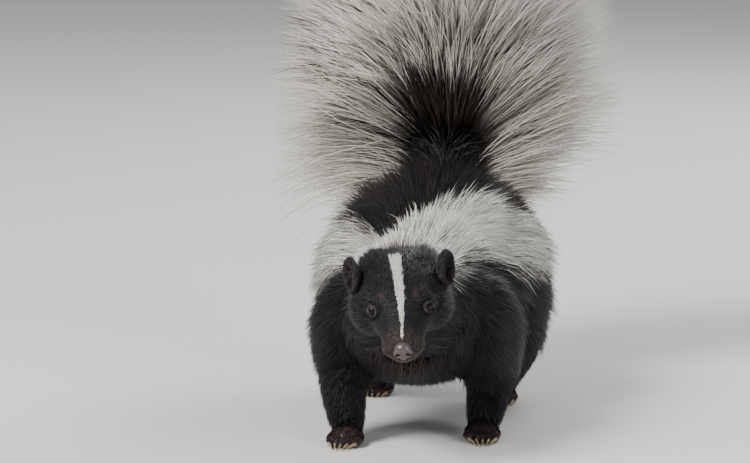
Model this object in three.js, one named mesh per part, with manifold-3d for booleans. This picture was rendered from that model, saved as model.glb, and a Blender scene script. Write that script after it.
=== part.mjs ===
// A striped skunk, life size, standing with its head low and its tail raised and fanned.
// Millimetres, +Z up. The animal faces -Y, so its left side is +X. The floor is z = 0.
import * as THREE from "three";
import { mergeVertices } from "three/addons/utils/BufferGeometryUtils.js";
import Module from "manifold-3d";

const wasm = await Module();
wasm.setup();

// Driving dimensions
const SHOULDER_HEIGHT = 134; // top of the shoulders under the long coat
const RUMP_HEIGHT = 164; // top of the arched back under the long coat
const BELLY_HEIGHT = 38; // belly above the floor
const CHEST_Y = -112; // front of the chest
const RUMP_Y = 158; // back of the rump
const SHOULDER_HALF = 70; // half width over the shoulders
const HIP_HALF = 80; // half width over the hips
const HEAD_AT = new THREE.Vector3(0, -176, 115); // middle of the skull
const HEAD_PITCH = 23; // degrees that the nose points down
const HEAD_YAW = 6; // degrees that the face turns to its left
const HEAD_ROLL = 5.5; // degrees that the head leans to its right
const EYE_RADIUS = 4.3;
const EYE_SPACING = 36; // between the two eyes' middles
const EAR_HEIGHT = 25;
const EAR_WIDTH = 20;
const EAR_WALL = 2.2;
const FOREFOOT_LENGTH = 38;
const HINDFOOT_LENGTH = 50;
const TRACK_HALF = 47; // half the distance between left and right feet
const FORE_STEP = 14; // how far the leading forefoot is ahead of the middle of its pair
const HIND_STEP = 13;
const TAIL_HEIGHT = 372; // top of the tail's core
const TAIL_HAIR = 140; // longest locks on the tail
const MANTLE_HAIR = 68; // longest locks on the body
const GAP = 0.3; // left between parts that touch

const DEGREE = Math.PI / 180;
const X = new THREE.Vector3(1, 0, 0);
const UP = new THREE.Vector3(0, 0, 1);
const { lerp, clamp } = THREE.MathUtils;

// Random numbers that come out the same on every run
function seeded(seed) {
  let state = seed;
  return (low, high) => {
    state = (state * 1664525 + 1013904223) >>> 0;
    return low + ((high - low) * state) / 2 ** 32;
  };
}

// Moves each vertex of a three.js geometry and welds the result into a closed solid
function shaped(geometry, place) {
  const position = geometry.getAttribute("position");
  const point = new THREE.Vector3();
  for (let i = 0; i < position.count; i++) {
    point.fromBufferAttribute(position, i);
    const moved = place(point);
    position.setXYZ(i, moved.x, moved.y, moved.z);
  }
  return solidOf(geometry);
}

function solidOf(geometry) {
  geometry.deleteAttribute("normal");
  geometry.deleteAttribute("uv");
  const welded = mergeVertices(geometry, 1e-3);
  const triVerts = new Uint32Array(welded.index.array);
  const vertProperties = new Float32Array(welded.getAttribute("position").array);
  const made = new wasm.Manifold(new wasm.Mesh({ numProp: 3, vertProperties, triVerts }));
  if (made.volume() > 0) return made;
  for (let i = 0; i < triVerts.length; i += 3) {
    [triVerts[i], triVerts[i + 1]] = [triVerts[i + 1], triVerts[i]];
  }
  return new wasm.Manifold(new wasm.Mesh({ numProp: 3, vertProperties, triVerts }));
}

const join = (solids) => wasm.Manifold.union(solids.flat());
const cut = (solid, cutters) => (cutters.length ? solid.subtract(join(cutters)) : solid);

// The largest closed surface, without loose scraps or sealed hollows
function whole(solid) {
  const pieces = solid.decompose();
  return pieces.reduce((best, piece) => (piece.volume() > best.volume() ? piece : best));
}

// The manifold moved as a three.js matrix says
const placed = (solid, matrix) => solid.transform(matrix.elements);

function ellipsoid(at, radii, around = 12, along = 8) {
  const ball = new THREE.SphereGeometry(1, around, along);
  return shaped(ball, (p) => p.multiply(radii).add(at));
}

const vector = (x, y, z) => new THREE.Vector3(x, y, z);

// A smooth form round a bent middle line. Each station is [x, y, z, half width, half height],
// its ends close to a point, and blunt says how square they are.
class Form {
  constructor(stations, blunt = 2.6) {
    this.line = new THREE.CatmullRomCurve3(stations.map(([x, y, z]) => vector(x, y, z)));
    this.size = new THREE.CatmullRomCurve3(stations.map((s) => vector(s[3], s[4], 0)));
    this.blunt = blunt;
  }

  // The point at t along the form and the angle from its top towards its left,
  // moved outwards by out
  point(t, angle, out = 0) {
    const inside = clamp(t, 0, 1);
    const end = 2 * inside - 1;
    const close = (1 - Math.abs(end) ** this.blunt) ** (1 / this.blunt);
    const forward = this.line.getTangent(inside);
    const top = vector().crossVectors(X, forward).normalize();
    const side = vector().crossVectors(forward, top);
    const size = this.size.getPoint(inside);
    const skin = out * Math.min(1, 3 * close);
    return this.line
      .getPoint(inside)
      .addScaledVector(forward, out * end ** 3)
      .addScaledVector(side, (size.x * close + skin) * Math.sin(angle))
      .addScaledVector(top, (size.y * close + skin) * Math.cos(angle));
  }

  solid(around, along, out = 0) {
    return shaped(new THREE.SphereGeometry(1, around, along), (p) => {
      const t = (1 - clamp(p.y, -1, 1)) / 2;
      return this.point(t, Math.atan2(p.x, p.z), out);
    });
  }
}

// One flat, tapered lock of hair: a four-sided cone bent along spine(s), as wide as
// across(s) points, where s is 0 at the root and 1 at the tip
function lock({ spine, across, width, thickness, bends }, grow = 0) {
  const cone = new THREE.ConeGeometry(1, 1, 4, bends);
  return shaped(cone, (p) => {
    const s = p.y + 0.5;
    const ahead = Math.min(1, s + 0.02);
    const behind = Math.max(0, s - 0.02);
    const forward = spine(ahead).sub(spine(behind)).normalize();
    const wide = across(s).projectOnPlane(forward).normalize();
    const flat = vector().crossVectors(forward, wide);
    const reach = (s > 0.999 ? 3 : 0) - (s < 0.001 ? 1 : 0);
    const rim = Math.hypot(p.x, p.z);
    if (rim < 1e-6) return spine(s).addScaledVector(forward, reach * grow);
    const taper = 1 - 0.2 * (1 - s) ** 2 - 0.8 * s ** 2;
    const half = (width / 2) * taper + (grow * width) / thickness;
    const thin = (thickness / 2) * taper + grow;
    return spine(s)
      .addScaledVector(forward, reach * grow)
      .addScaledVector(wide, (half * p.x) / rim)
      .addScaledVector(flat, (thin * p.z) / rim);
  });
}

// A lock that lies over a form: it starts sunk at (t, angle), runs along the form and
// round it, and rises to lift above it at its tip
function lyingLock(form, { t, angle, run, turn, sunk, lift, ...size }) {
  const at = (s) => [t + run * s, angle + turn * s, -sunk * (1 - s) ** 1.5 + lift * s ** 1.3];
  const spine = (s) => form.point(...at(s));
  const across = (s) => {
    const [u, a, out] = at(s);
    return form.point(u, a + 0.05, out).sub(form.point(u, a - 0.05, out));
  };
  return { spine, across, ...size };
}

// Head, in its own frame: the middle of the skull is the origin
const skull = new Form(
  [
    [0, -42, -13, 8, 7.5],
    [0, -33, -11.5, 12, 10.5],
    [0, -23, -8.5, 17, 14.5],
    [0, -11, -4, 23.5, 20.5],
    [0, 3, -1, 30, 26],
    [0, 18, 0, 32, 28],
    [0, 38, -4, 27, 24],
  ],
  2.8,
);
const head = new THREE.Group();
head.position.copy(HEAD_AT);
head.rotation.set(HEAD_PITCH * DEGREE, -HEAD_ROLL * DEGREE, HEAD_YAW * DEGREE, "ZXY");
head.updateMatrix();

const nosePad = (out) => ellipsoid(vector(0, -42, -12), vector(6.6 + out, 6 + out, 6 + out), 11, 7);

function nose() {
  const nostrils = [-1, 1].map((side) =>
    ellipsoid(vector(side * 3.2, -47.4, -13), vector(1.7, 2.6, 1.5), 8, 6),
  );
  const groove = ellipsoid(vector(0, -47.6, -16), vector(0.7, 2, 3.6), 6, 6);
  return cut(nosePad(0), [...nostrils, groove]);
}

// The eye's middle and the way it looks
const eyeAt = (side) => vector(side * EYE_SPACING * 0.5, -14.6, 4.2);
const eyeLook = (side) => vector(side * 0.62, -0.76, 0.2).normalize();
const eyeball = (side, out, detail) =>
  ellipsoid(eyeAt(side), vector(1, 1, 1).multiplyScalar(EYE_RADIUS + out), ...detail);

// Upper and lower lid: a fleshy ring round the ball
function lids(side) {
  const ring = new THREE.TorusGeometry(EYE_RADIUS - 0.35, 1.3, 4, 10);
  const turn = new THREE.Quaternion().setFromUnitVectors(UP, eyeLook(side));
  return shaped(ring, (p) =>
    p.multiply(vector(1.06, 0.94, 1)).applyQuaternion(turn).add(eyeAt(side))
      .addScaledVector(eyeLook(side), 2.3),
  );
}

// The jaw is what lies under the line of the mouth, seen from the side
function mouthPrism(out) {
  const outline = new THREE.Shape();
  outline.moveTo(-60, -20.5 + out);
  outline.lineTo(-38, -20.5 + out);
  outline.quadraticCurveTo(-28, -21.5 + out, -17 + out, -15.5 + out);
  outline.lineTo(-12 + out, -22);
  outline.lineTo(-12 + out, -50);
  outline.lineTo(-60, -50);
  const depth = 60;
  const prism = new THREE.ExtrudeGeometry(outline, { depth, bevelEnabled: false, curveSegments: 5 });
  return shaped(prism, (p) => vector(p.z - depth / 2, p.x, p.y));
}

// Lips: a low rolled edge on each side of the mouth, above (1) or below (-1) its line
function lips(level) {
  return [-1, 1].map((side) => {
    const edge = new Form(
      [
        [side * 2, -42, -19.5 + level * 1.2, 1.7, 1.7],
        [side * 9.5, -37, -20 + level * 1.3, 2, 1.8],
        [side * 13.5, -27, -20 + level * 1.4, 2.2, 1.9],
        [side * 16, -17, -15.5 + level * 1.6, 1.8, 1.6],
      ],
      3,
    );
    return edge.solid(5, 5);
  });
}

const whiskerPads = (out) =>
  [-1, 1].map((side) =>
    ellipsoid(vector(side * 8, -32, -14.5), vector(8.6 + out, 10.5 + out, 7.4 + out), 9, 6),
  );
const chin = () => ellipsoid(vector(0, -30, -21.5), vector(10.5, 12, 6.5), 12, 8);
const cheeks = (out) =>
  [-1, 1].map((side) =>
    ellipsoid(vector(side * 19, 8, -8), vector(15 + out, 22 + out, 17 + out), 9, 6),
  );
const headMass = (out) => [skull.solid(20, 13, out), ...cheeks(out), ...whiskerPads(out)];

function headSolid() {
  const brows = [-1, 1].map((side) =>
    ellipsoid(vector(side * 15, -10, 12), vector(8, 8, 4.5), 8, 5),
  );
  const flesh = join([...headMass(0), ...brows, lids(-1), lids(1)]);
  const upper = join([cut(flesh, [mouthPrism(GAP / 2)]), ...lips(1)]);
  const sockets = [-1, 1].map((side) => eyeball(side, GAP, [10, 7]));
  return whole(cut(upper, [...sockets, nosePad(GAP), mouthPrism(GAP / 2)]));
}

function jawSolid() {
  const mass = join([...headMass(-0.4), chin()]).intersect(mouthPrism(-GAP / 2));
  const lower = join([mass, ...lips(-1).map((lip) => lip.intersect(mouthPrism(-GAP / 2)))]);
  return whole(cut(lower, [nosePad(GAP)]));
}

// The pinna: a cup that opens forwards and outwards, its root against the head
function ear(side) {
  const at = vector(side * 32, 15, 17);
  const turn = new THREE.Quaternion().setFromEuler(
    new THREE.Euler(-0.1, side * 0.2, side * 0.75, "ZYX"),
  );
  const shell = (radii, shift) =>
    shaped(new THREE.SphereGeometry(1, 10, 7), (p) =>
      p.multiply(radii).add(shift).applyQuaternion(turn).add(at),
    );
  const outer = shell(vector(EAR_WIDTH / 2, 6, EAR_HEIGHT / 2), vector());
  const inside = vector(EAR_WIDTH / 2 - EAR_WALL, 6, EAR_HEIGHT / 2 - EAR_WALL);
  const cup = shell(inside, vector(0, -3.4, 0));
  const canal = shell(vector(3.4, 5, 3.6), vector(0, -1, -4.5));
  return whole(cut(outer, [cup, canal, ...headMass(GAP)]));
}

// Body: chest, back and rump in one long form, and the neck in another
const bodyMiddle = (top, bottom) => [(top + bottom) / 2, (top - bottom) / 2];
const station = (y, half, top, bottom) => {
  const [z, tall] = bodyMiddle(top, bottom);
  return [0, y, z, half, tall];
};
const trunk = new Form([
  station(CHEST_Y, SHOULDER_HALF * 0.8, SHOULDER_HEIGHT - 22, BELLY_HEIGHT + 8),
  station(-76, SHOULDER_HALF, SHOULDER_HEIGHT - 2, BELLY_HEIGHT),
  station(-30, SHOULDER_HALF + 1, SHOULDER_HEIGHT + 5, BELLY_HEIGHT - 2),
  station(18, (SHOULDER_HALF + HIP_HALF) / 2, RUMP_HEIGHT - 12, BELLY_HEIGHT - 3),
  station(64, HIP_HALF, RUMP_HEIGHT, BELLY_HEIGHT - 2),
  station(108, HIP_HALF - 3, RUMP_HEIGHT, BELLY_HEIGHT + 4),
  station(RUMP_Y, HIP_HALF * 0.62, RUMP_HEIGHT - 22, BELLY_HEIGHT + 40),
]);
const nape = new Form([
  [0, -162, 121, 27, 24],
  [0, -138, 115, 38, 34],
  [0, -112, 104, 52, 46],
  [0, -76, 92, 60, 48],
]);

// Legs: each has a form from inside the body to its foot, and a foot with toes and claws
const steps = { fore: { left: -84 + FORE_STEP, right: -84 - FORE_STEP } };
steps.hind = { left: 98 - HIND_STEP, right: 98 + HIND_STEP };
const sideOf = { left: 1, right: -1 };
const foreleg = (hand) =>
  new Form([
    [sideOf[hand] * 42, -74, 96, 27, 31],
    [sideOf[hand] * 53, -68, 72, 26, 31],
    [sideOf[hand] * 54, lerp(-62, steps.fore[hand] + 20, 0.4), 48, 21, 25],
    [sideOf[hand] * 50, steps.fore[hand] + 13, 27, 16.5, 19],
    [sideOf[hand] * TRACK_HALF, steps.fore[hand] + 7, 5, 14, 15],
  ]);
const hindleg = (hand) =>
  new Form([
    [sideOf[hand] * 46, 94, 100, 30, 42],
    [sideOf[hand] * 56, 88, 74, 28, 42],
    [sideOf[hand] * 59, lerp(88, steps.hind[hand], 0.5), 50, 23, 32],
    [sideOf[hand] * 54, steps.hind[hand] + 19, 27, 16, 20],
    [sideOf[hand] * TRACK_HALF, steps.hind[hand] + 16, 6, 13, 14],
  ]);

// A foot in its own frame, toes towards -Y and its sole on z = 0
function foot(length, clawLength, out = 0) {
  const width = 23;
  const middle = vector(0, 0, 7);
  const palm = ellipsoid(middle, vector(width / 2 + out, length * 0.42 + out, 8.5 + out), 8, 6);
  const toes = [-2, -1, 0, 1, 2].map((n) => {
    const turn = n * 0.2;
    const ahead = length * 0.34 - Math.abs(n) * 1.6;
    const tip = vector(n * 4.6, -ahead, 4.4);
    const toe = shaped(new THREE.SphereGeometry(1, 6, 4), (p) =>
      p.multiply(vector(3.3 + out, 7.5 + out, 4.4 + out)).applyAxisAngle(UP, -turn).add(tip),
    );
    const spine = (s) =>
      vector(0, -4.5 - clawLength * s, 2.8 - 1.9 * s * s).applyAxisAngle(UP, -turn)
        .add(vector(tip.x, tip.y, 0));
    const across = () => X.clone().applyAxisAngle(UP, -turn);
    return [toe, lock({ spine, across, width: 3, thickness: 3.4, bends: 1 }, out)];
  });
  return join([palm, ...toes]).trimByPlane([0, 0, 1], 0);
}

const feet = {};
const legs = {};
for (const hand of ["left", "right"]) {
  for (const [end, length, claw] of [
    ["fore", FOREFOOT_LENGTH, 13],
    ["hind", HINDFOOT_LENGTH, 7],
  ]) {
    const group = new THREE.Group();
    group.position.set(sideOf[hand] * TRACK_HALF, steps[end][hand], 0);
    group.rotation.z = sideOf[hand] * 0.1;
    group.updateMatrix();
    const name = `${end}foot_${hand}`;
    feet[name] = { group, solid: foot(length, claw), keepOut: foot(length, claw, GAP) };
    const form = (end === "fore" ? foreleg : hindleg)(hand);
    legs[`${end}leg_${hand}`] = { form, foot: name };
  }
}

// Tail: one core raised from the rump and leaning back, parted into three lengths
const tailCore = new Form(
  [
    [0, 128, 128, 20, 20],
    [0, 164, 152, 24, 23],
    [0, 188, 192, 29, 27],
    [0, 199, 244, 35, 31],
    [0, 198, 298, 37, 33],
    [0, 187, 340, 32, 29],
    [0, 174, TAIL_HEIGHT, 20, 19],
  ],
  3,
);
const tailLengths = [
  { name: "tail_root", from: 0, to: 0.34 },
  { name: "tail_middle", from: 0.34, to: 0.64 },
  { name: "tail_tip", from: 0.64, to: 1 },
];

// The part of the tail's core between two places along it
function tailLength({ from, to }, out = 0) {
  let core = tailCore.solid(14, 16, out);
  const along = (t) => tailCore.line.getTangent(t);
  const level = (t) => along(t).dot(tailCore.line.getPoint(t));
  if (from > 0) core = core.trimByPlane(along(from).toArray(), level(from) + GAP / 2 - out);
  if (to < 1) core = core.trimByPlane(along(to).negate().toArray(), GAP / 2 - out - level(to));
  return core;
}

// A long lock of the tail: it leaves the core outwards and towards the tip, then droops
// like the water of a fountain. Each lock is rolled a little about its own line, and the
// locks under the tail's root are shorter and lie closer.
function plumeLock(t, angle, hair, random) {
  const root = tailCore.point(t, angle, -8);
  const outward = tailCore.point(t, angle, 4).sub(tailCore.point(t, angle)).normalize();
  const forward = tailCore.line.getTangent(clamp(t, 0, 1));
  const high = clamp((t - 0.2) / 0.8, 0, 1);
  const under = (1 - high) ** 3 * (0.5 - 0.5 * Math.cos(angle));
  const length = hair * (1 - 0.35 * under);
  const closeness = lerp(0.62, 1.7, high) + 0.7 * under;
  const start = outward.addScaledVector(forward, closeness).normalize();
  const droop = length * (lerp(0.42, 0.22, high) - 0.3 * under) * random(0.7, 1.3);
  const sway = random(-0.16, 0.16) * length;
  const side = vector().crossVectors(start, forward).normalize();
  const wide = side.clone().applyAxisAngle(start, random(-0.8, 0.8));
  const spine = (s) =>
    root.clone().addScaledVector(start, length * s).addScaledVector(side, sway * s * s)
      .addScaledVector(UP, -droop * s ** 3);
  return { spine, across: () => wide.clone() };
}

// The lie of the body's long hair: one form from the back of the head to the rump, which
// the locks of the neck and of the trunk both follow
const coat = new Form(
  [
    [0, -160, 121, 30, 27],
    [0, -136, 114, 41, 37],
    [0, -108, 102, 57, 48],
    station(-76, SHOULDER_HALF + 1, SHOULDER_HEIGHT - 1, BELLY_HEIGHT - 1),
    station(-30, SHOULDER_HALF + 2, SHOULDER_HEIGHT + 6, BELLY_HEIGHT - 3),
    station(18, (SHOULDER_HALF + HIP_HALF) / 2 + 1, RUMP_HEIGHT - 11, BELLY_HEIGHT - 4),
    station(64, HIP_HALF + 1, RUMP_HEIGHT + 1, BELLY_HEIGHT - 3),
    station(108, HIP_HALF - 2, RUMP_HEIGHT + 1, BELLY_HEIGHT + 3),
    station(RUMP_Y + 4, HIP_HALF * 0.64, RUMP_HEIGHT - 20, BELLY_HEIGHT + 38),
  ],
  3.4,
);

// Rows of locks round a form, each row lying over the roots of the next
function coatRow(form, t, { around, reach, hair, random, row, lift = 9 }) {
  const length = form.line.getLength();
  const locks = [];
  for (let k = 0; k < around; k++) {
    const place = (k + 0.25 + (row % 2) * 0.5 + random(-0.12, 0.12)) / around;
    const angle = lerp(-reach, reach, place);
    const long = hair * random(0.85, 1.1) * (1 - 0.25 * Math.abs(angle / Math.PI));
    const size = form.size.getPoint(t);
    const girth = (2 * reach * (size.x + size.y)) / 2;
    locks.push(
      lyingLock(form, {
        t,
        angle,
        run: Math.min(long / length, 0.985 - t),
        turn: 0.3 * Math.sin(angle) * random(0.6, 1.2) + random(-0.05, 0.05),
        sunk: 7,
        lift: lift * random(0.8, 1.25),
        width: (1.06 * girth) / around,
        thickness: 4.2,
        bends: 3,
      }),
    );
  }
  return locks;
}

const random = seeded(11);
const NECK_END = 0.27; // the neck's share of the coat's line
const bodyRows = [0.11, 0.2, 0.29, 0.4, 0.51, 0.62, 0.73, 0.84];
const locksOf = { neck: [], trunk: [], hindleg_left: [], hindleg_right: [] };
bodyRows.forEach((t, row) => {
  const onNeck = t < NECK_END;
  const options = { around: onNeck ? 9 : 10, reach: onNeck ? 1.9 : 2.35, row, random };
  const hair = MANTLE_HAIR * lerp(0.8, 1, t);
  locksOf[onNeck ? "neck" : "trunk"].push(...coatRow(coat, t, { ...options, hair }));
});

// Thigh locks on the outer and rear sides of each hind leg
for (const hand of ["left", "right"]) {
  const { form } = legs[`hindleg_${hand}`];
  [0.34, 0.52].forEach((t, row) => {
    for (let k = 0; k < 3; k++) {
      const angle = sideOf[hand] * (k * 0.75 + row * 0.3 - 0.2);
      const options = { t, angle, run: 0.26, turn: 0, sunk: 5, lift: 5, width: 27 };
      locksOf[`hindleg_${hand}`].push(lyingLock(form, { ...options, thickness: 3.6, bends: 2 }));
    }
  });
}

// Tail locks in rings from the root to the tip, each ring turned against the last
const tailRings = [
  { at: 0.17, around: 7, long: 0.68 },
  { at: 0.27, around: 8, long: 0.9 },
  { at: 0.37, around: 9, long: 1.05 },
  { at: 0.47, around: 9, long: 1.1 },
  { at: 0.58, around: 9, long: 1.05 },
  { at: 0.7, around: 8, long: 0.96 },
  { at: 0.82, around: 7, long: 0.85 },
  { at: 0.94, around: 5, long: 0.7 },
];
for (const { name } of tailLengths) locksOf[name] = [];
tailRings.forEach(({ at, around, long }, ring) => {
  const owner = tailLengths.find(({ to }) => at < to).name;
  for (let k = 0; k < around; k++) {
    const angle = ((k + (ring % 2) * 0.5) / around) * 2 * Math.PI + random(-0.12, 0.12);
    if (at < 0.25 && Math.cos(angle) > 0.3) continue;
    const hair = TAIL_HAIR * long * random(0.9, 1.1);
    const body = plumeLock(at + random(-0.015, 0.015), angle, hair, random);
    locksOf[owner].push({ ...body, width: 44, thickness: 6.5, bends: 3 });
  }
});

// The smooth solids and the room that each neighbour leaves them
const headPlace = (solid) => placed(solid, head.matrix);
const atFoot = (name, which) => placed(feet[name][which], feet[name].group.matrix);
const smooth = {
  trunk: { core: trunk.solid(20, 15), keepOut: trunk.solid(20, 15, GAP) },
  neck: { core: nape.solid(16, 8), keepOut: nape.solid(16, 8, GAP) },
};
for (const [name, { form }] of Object.entries(legs)) {
  smooth[name] = { core: form.solid(11, 9), keepOut: form.solid(11, 9, GAP) };
}
for (const part of tailLengths) {
  smooth[part.name] = { core: tailLength(part), keepOut: tailLength(part, GAP) };
}
const headRoom = headPlace(join(headMass(GAP)));
const footRoom = Object.keys(feet).map((name) => atFoot(name, "keepOut"));

smooth.neck.core = cut(smooth.neck.core, [headRoom, smooth.trunk.keepOut]);
smooth.tail_root.core = cut(smooth.tail_root.core, [smooth.trunk.keepOut]);
for (const [name, { foot: footName }] of Object.entries(legs)) {
  const rooms = [smooth.trunk.keepOut, atFoot(footName, "keepOut")];
  smooth[name].core = cut(smooth[name].core, rooms);
}

// Fuses each node's locks, cut clear of its neighbours and of the locks already laid
const solids = {};
const laid = [headRoom, ...footRoom];
for (const name of Object.keys(smooth)) {
  const locks = locksOf[name] ?? [];
  const others = Object.keys(smooth).filter((other) => other !== name);
  const rooms = [...others.map((other) => smooth[other].keepOut), ...laid];
  const hair = locks.map((each) => lock(each));
  solids[name] = locks.length
    ? whole(join([smooth[name].core, cut(join(hair), rooms)]))
    : whole(smooth[name].core);
  laid.push(...locks.map((each) => lock(each, GAP)));
}

// Materials
const paint = (color, roughness) =>
  new THREE.MeshStandardMaterial({ color, roughness, metalness: 0 });
const blackFur = paint(0x17161a, 0.85);
const whiteFur = paint(0xe4e1d8, 0.85);
const eyeShine = paint(0x0a0807, 0.12);
const noseSkin = paint(0x8a7679, 0.4);
const earSkin = paint(0x2a2022, 0.8);

// A manifold as a named mesh
function mesh(name, solid, material) {
  const { numProp, vertProperties, triVerts, numVert } = solid.getMesh();
  const position = new Float32Array(numVert * 3);
  for (let i = 0; i < numVert; i++) {
    position.set(vertProperties.subarray(i * numProp, i * numProp + 3), i * 3);
  }
  const geometry = new THREE.BufferGeometry();
  geometry.setAttribute("position", new THREE.BufferAttribute(position, 3));
  geometry.setIndex(new THREE.BufferAttribute(new Uint32Array(triVerts), 1));
  geometry.computeVertexNormals();
  const made = new THREE.Mesh(geometry, material);
  made.name = name;
  return made;
}

const skunk = new THREE.Group();
head.add(
  mesh("head", headSolid(), blackFur),
  mesh("jaw", jawSolid(), blackFur),
  mesh("nose", nose(), noseSkin),
);
for (const [hand, side] of Object.entries(sideOf)) {
  head.add(mesh(`eye_${hand}`, eyeball(side, 0, [10, 7]), eyeShine));
  head.add(mesh(`ear_${hand}`, ear(side), earSkin));
}
skunk.add(head);
for (const [name, solid] of Object.entries(solids)) {
  const white = name === "neck" || name === "tail_middle" || name === "tail_tip";
  skunk.add(mesh(name, solid, white ? whiteFur : blackFur));
}
for (const [name, { group, solid }] of Object.entries(feet)) {
  group.add(mesh(name, solid, blackFur));
  skunk.add(group);
}

// The frame: the origin is on the floor under the middle of the whole animal
const part = new THREE.Group();
part.add(skunk);
const bounds = new THREE.Box3().setFromObject(part, true);
const middle = bounds.getCenter(vector());
skunk.position.set(-middle.x, -middle.y, 0);

export default part;
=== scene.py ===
# %% [markdown]
# # A striped skunk, life size
# The animal is built from the inside out: one skin for the flesh, then eyes, nose, ears, feet
# and claws, and last the coat, which is thousands of thin solid tufts that follow the lie of
# the hair. Everything is in metres, faces -Y and stands on the floor at z = 0.

# %% Start
import math

import bpy
import numpy as np
from mathutils import Matrix, Vector
from mathutils.bvhtree import BVHTree
from mathutils.kdtree import KDTree


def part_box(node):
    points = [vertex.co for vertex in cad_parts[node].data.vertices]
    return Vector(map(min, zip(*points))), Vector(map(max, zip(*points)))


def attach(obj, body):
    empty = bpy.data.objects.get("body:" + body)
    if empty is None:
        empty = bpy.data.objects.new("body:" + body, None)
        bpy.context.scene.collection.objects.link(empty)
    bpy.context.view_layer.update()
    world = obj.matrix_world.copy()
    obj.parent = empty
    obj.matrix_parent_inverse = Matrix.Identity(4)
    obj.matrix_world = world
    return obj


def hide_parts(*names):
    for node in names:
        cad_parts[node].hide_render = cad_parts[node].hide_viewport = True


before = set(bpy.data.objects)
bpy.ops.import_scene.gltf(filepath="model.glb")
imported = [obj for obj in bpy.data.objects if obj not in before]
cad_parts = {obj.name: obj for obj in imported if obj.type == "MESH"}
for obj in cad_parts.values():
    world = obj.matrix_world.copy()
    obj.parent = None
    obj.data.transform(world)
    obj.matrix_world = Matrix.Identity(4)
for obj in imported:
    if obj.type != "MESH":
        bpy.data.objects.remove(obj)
bpy.context.view_layer.update()

# %% [markdown]
# ## Where things are
# The same few sizes that shape the solids shape the skin. They are in millimetres in the
# animal's own frame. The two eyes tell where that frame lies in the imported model, so a helper
# can turn any body point or head point into metres.

# %% Named sizes and frames
MM = 0.001
SHOULDER_HEIGHT = 134
RUMP_HEIGHT = 164
BELLY_HEIGHT = 38
SHOULDER_HALF = 70
HIP_HALF = 80
TRACK_HALF = 47
FORE_STEP = 14
HIND_STEP = 13
EYE_RADIUS = 4.3
EYE_SPACING = 36
SIDES = {"left": 1, "right": -1}
HEAD_AT = Vector((0, -176, 115))
HEAD_TURN = (
    Matrix.Rotation(math.radians(6), 3, "Z")
    @ Matrix.Rotation(math.radians(23), 3, "X")
    @ Matrix.Rotation(math.radians(-5.5), 3, "Y")
)
EYE_LOCAL = {hand: Vector((side * EYE_SPACING / 2, -14.6, 4.2)) for hand, side in SIDES.items()}


def node_middle(name):
    low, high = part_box(name)
    return (Vector(low) + Vector(high)) / 2


eyes_middle = (node_middle("eye_left") + node_middle("eye_right")) / 2
SHIFT = eyes_middle / MM - (HEAD_AT + HEAD_TURN @ ((EYE_LOCAL["left"] + EYE_LOCAL["right"]) / 2))


def body(x, y, z):
    return (Vector((x, y, z)) + SHIFT) * MM


def head(x, y, z):
    return (HEAD_AT + HEAD_TURN @ Vector((x, y, z)) + SHIFT) * MM


for hand in SIDES:
    error = (head(*EYE_LOCAL[hand]) - node_middle(f"eye_{hand}")).length
    print(f"eye_{hand} is {error * 1000:.2f} mm from its solid")

# %% [markdown]
# ## Camera
# The photograph looks at the face from a little to the animal's left and from just above it.
# A long lens a few metres away keeps the head and the tail in true proportion. The camera
# aims at the point between the eyes, and a small shift puts that point where the picture has
# it without turning the view.

# %% Camera
CAMERA_AZIMUTH = math.radians(6)
CAMERA_ELEVATION = math.radians(9)
CAMERA_DISTANCE = 2.7
VIEW_WIDTH = 0.51  # metres across the picture at the eyes
PICTURE_WIDTH = 750
PICTURE_HEIGHT = 463
EYES_RIGHT = 400.5  # pixels from the picture's left edge
EYES_DOWN = 308  # pixels from its top edge

camera_data = bpy.data.cameras.new("camera")
camera = bpy.data.objects.new("camera", camera_data)
bpy.context.scene.collection.objects.link(camera)
level = math.cos(CAMERA_ELEVATION)
to_camera = Vector(
    (
        math.sin(CAMERA_AZIMUTH) * level,
        -math.cos(CAMERA_AZIMUTH) * level,
        math.sin(CAMERA_ELEVATION),
    )
)
camera_data.sensor_width = 36
camera_data.lens = camera_data.sensor_width * CAMERA_DISTANCE / VIEW_WIDTH
camera_data.shift_x = -(EYES_RIGHT - PICTURE_WIDTH / 2) / PICTURE_WIDTH
camera_data.shift_y = (EYES_DOWN - PICTURE_HEIGHT / 2) / PICTURE_WIDTH
camera.location = eyes_middle + to_camera * CAMERA_DISTANCE
camera.rotation_mode = "QUATERNION"
camera.rotation_quaternion = (-to_camera).to_track_quat("-Z", "Y")
bpy.context.scene.camera = camera
print("camera", [round(v, 3) for v in camera.location], "lens", round(camera_data.lens, 1))

# %% [markdown]
# ## Making forms by hand
# Flesh has no edges, so each mass starts as a sphere primitive that is stretched and turned
# into place. A leg, neck or tail is a row of such spheres along a line. Joined and wrapped by
# a voxel remesh they become one closed surface, and a Smooth modifier takes the steps out.
# Extruding a box would give cleaner squares, but it is slow to make it look like flesh.

# %% Helpers for primitives and modifiers
def only(*pieces):
    """Selects these pieces and nothing else. The first one is active."""
    if bpy.context.object and bpy.context.object.mode != "OBJECT":
        bpy.ops.object.mode_set(mode="OBJECT")
    bpy.ops.object.select_all(action="DESELECT")
    for piece in pieces:
        piece.select_set(True)
    if pieces:
        bpy.context.view_layer.objects.active = pieces[0]


def settle(piece):
    """Puts the object at the origin and keeps its place in its mesh."""
    only(piece)
    bpy.ops.object.transform_apply(location=True, rotation=True, scale=True)


def ball(at, radii, turn, segments=20, rings=12):
    """A sphere primitive stretched to three radii in mm and turned into place."""
    only()
    bpy.ops.mesh.primitive_uv_sphere_add(
        segments=segments, ring_count=rings, radius=MM, location=at
    )
    made = bpy.context.object
    made.scale = radii
    made.rotation_mode = "QUATERNION"
    made.rotation_quaternion = turn.to_quaternion()
    return made


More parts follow.
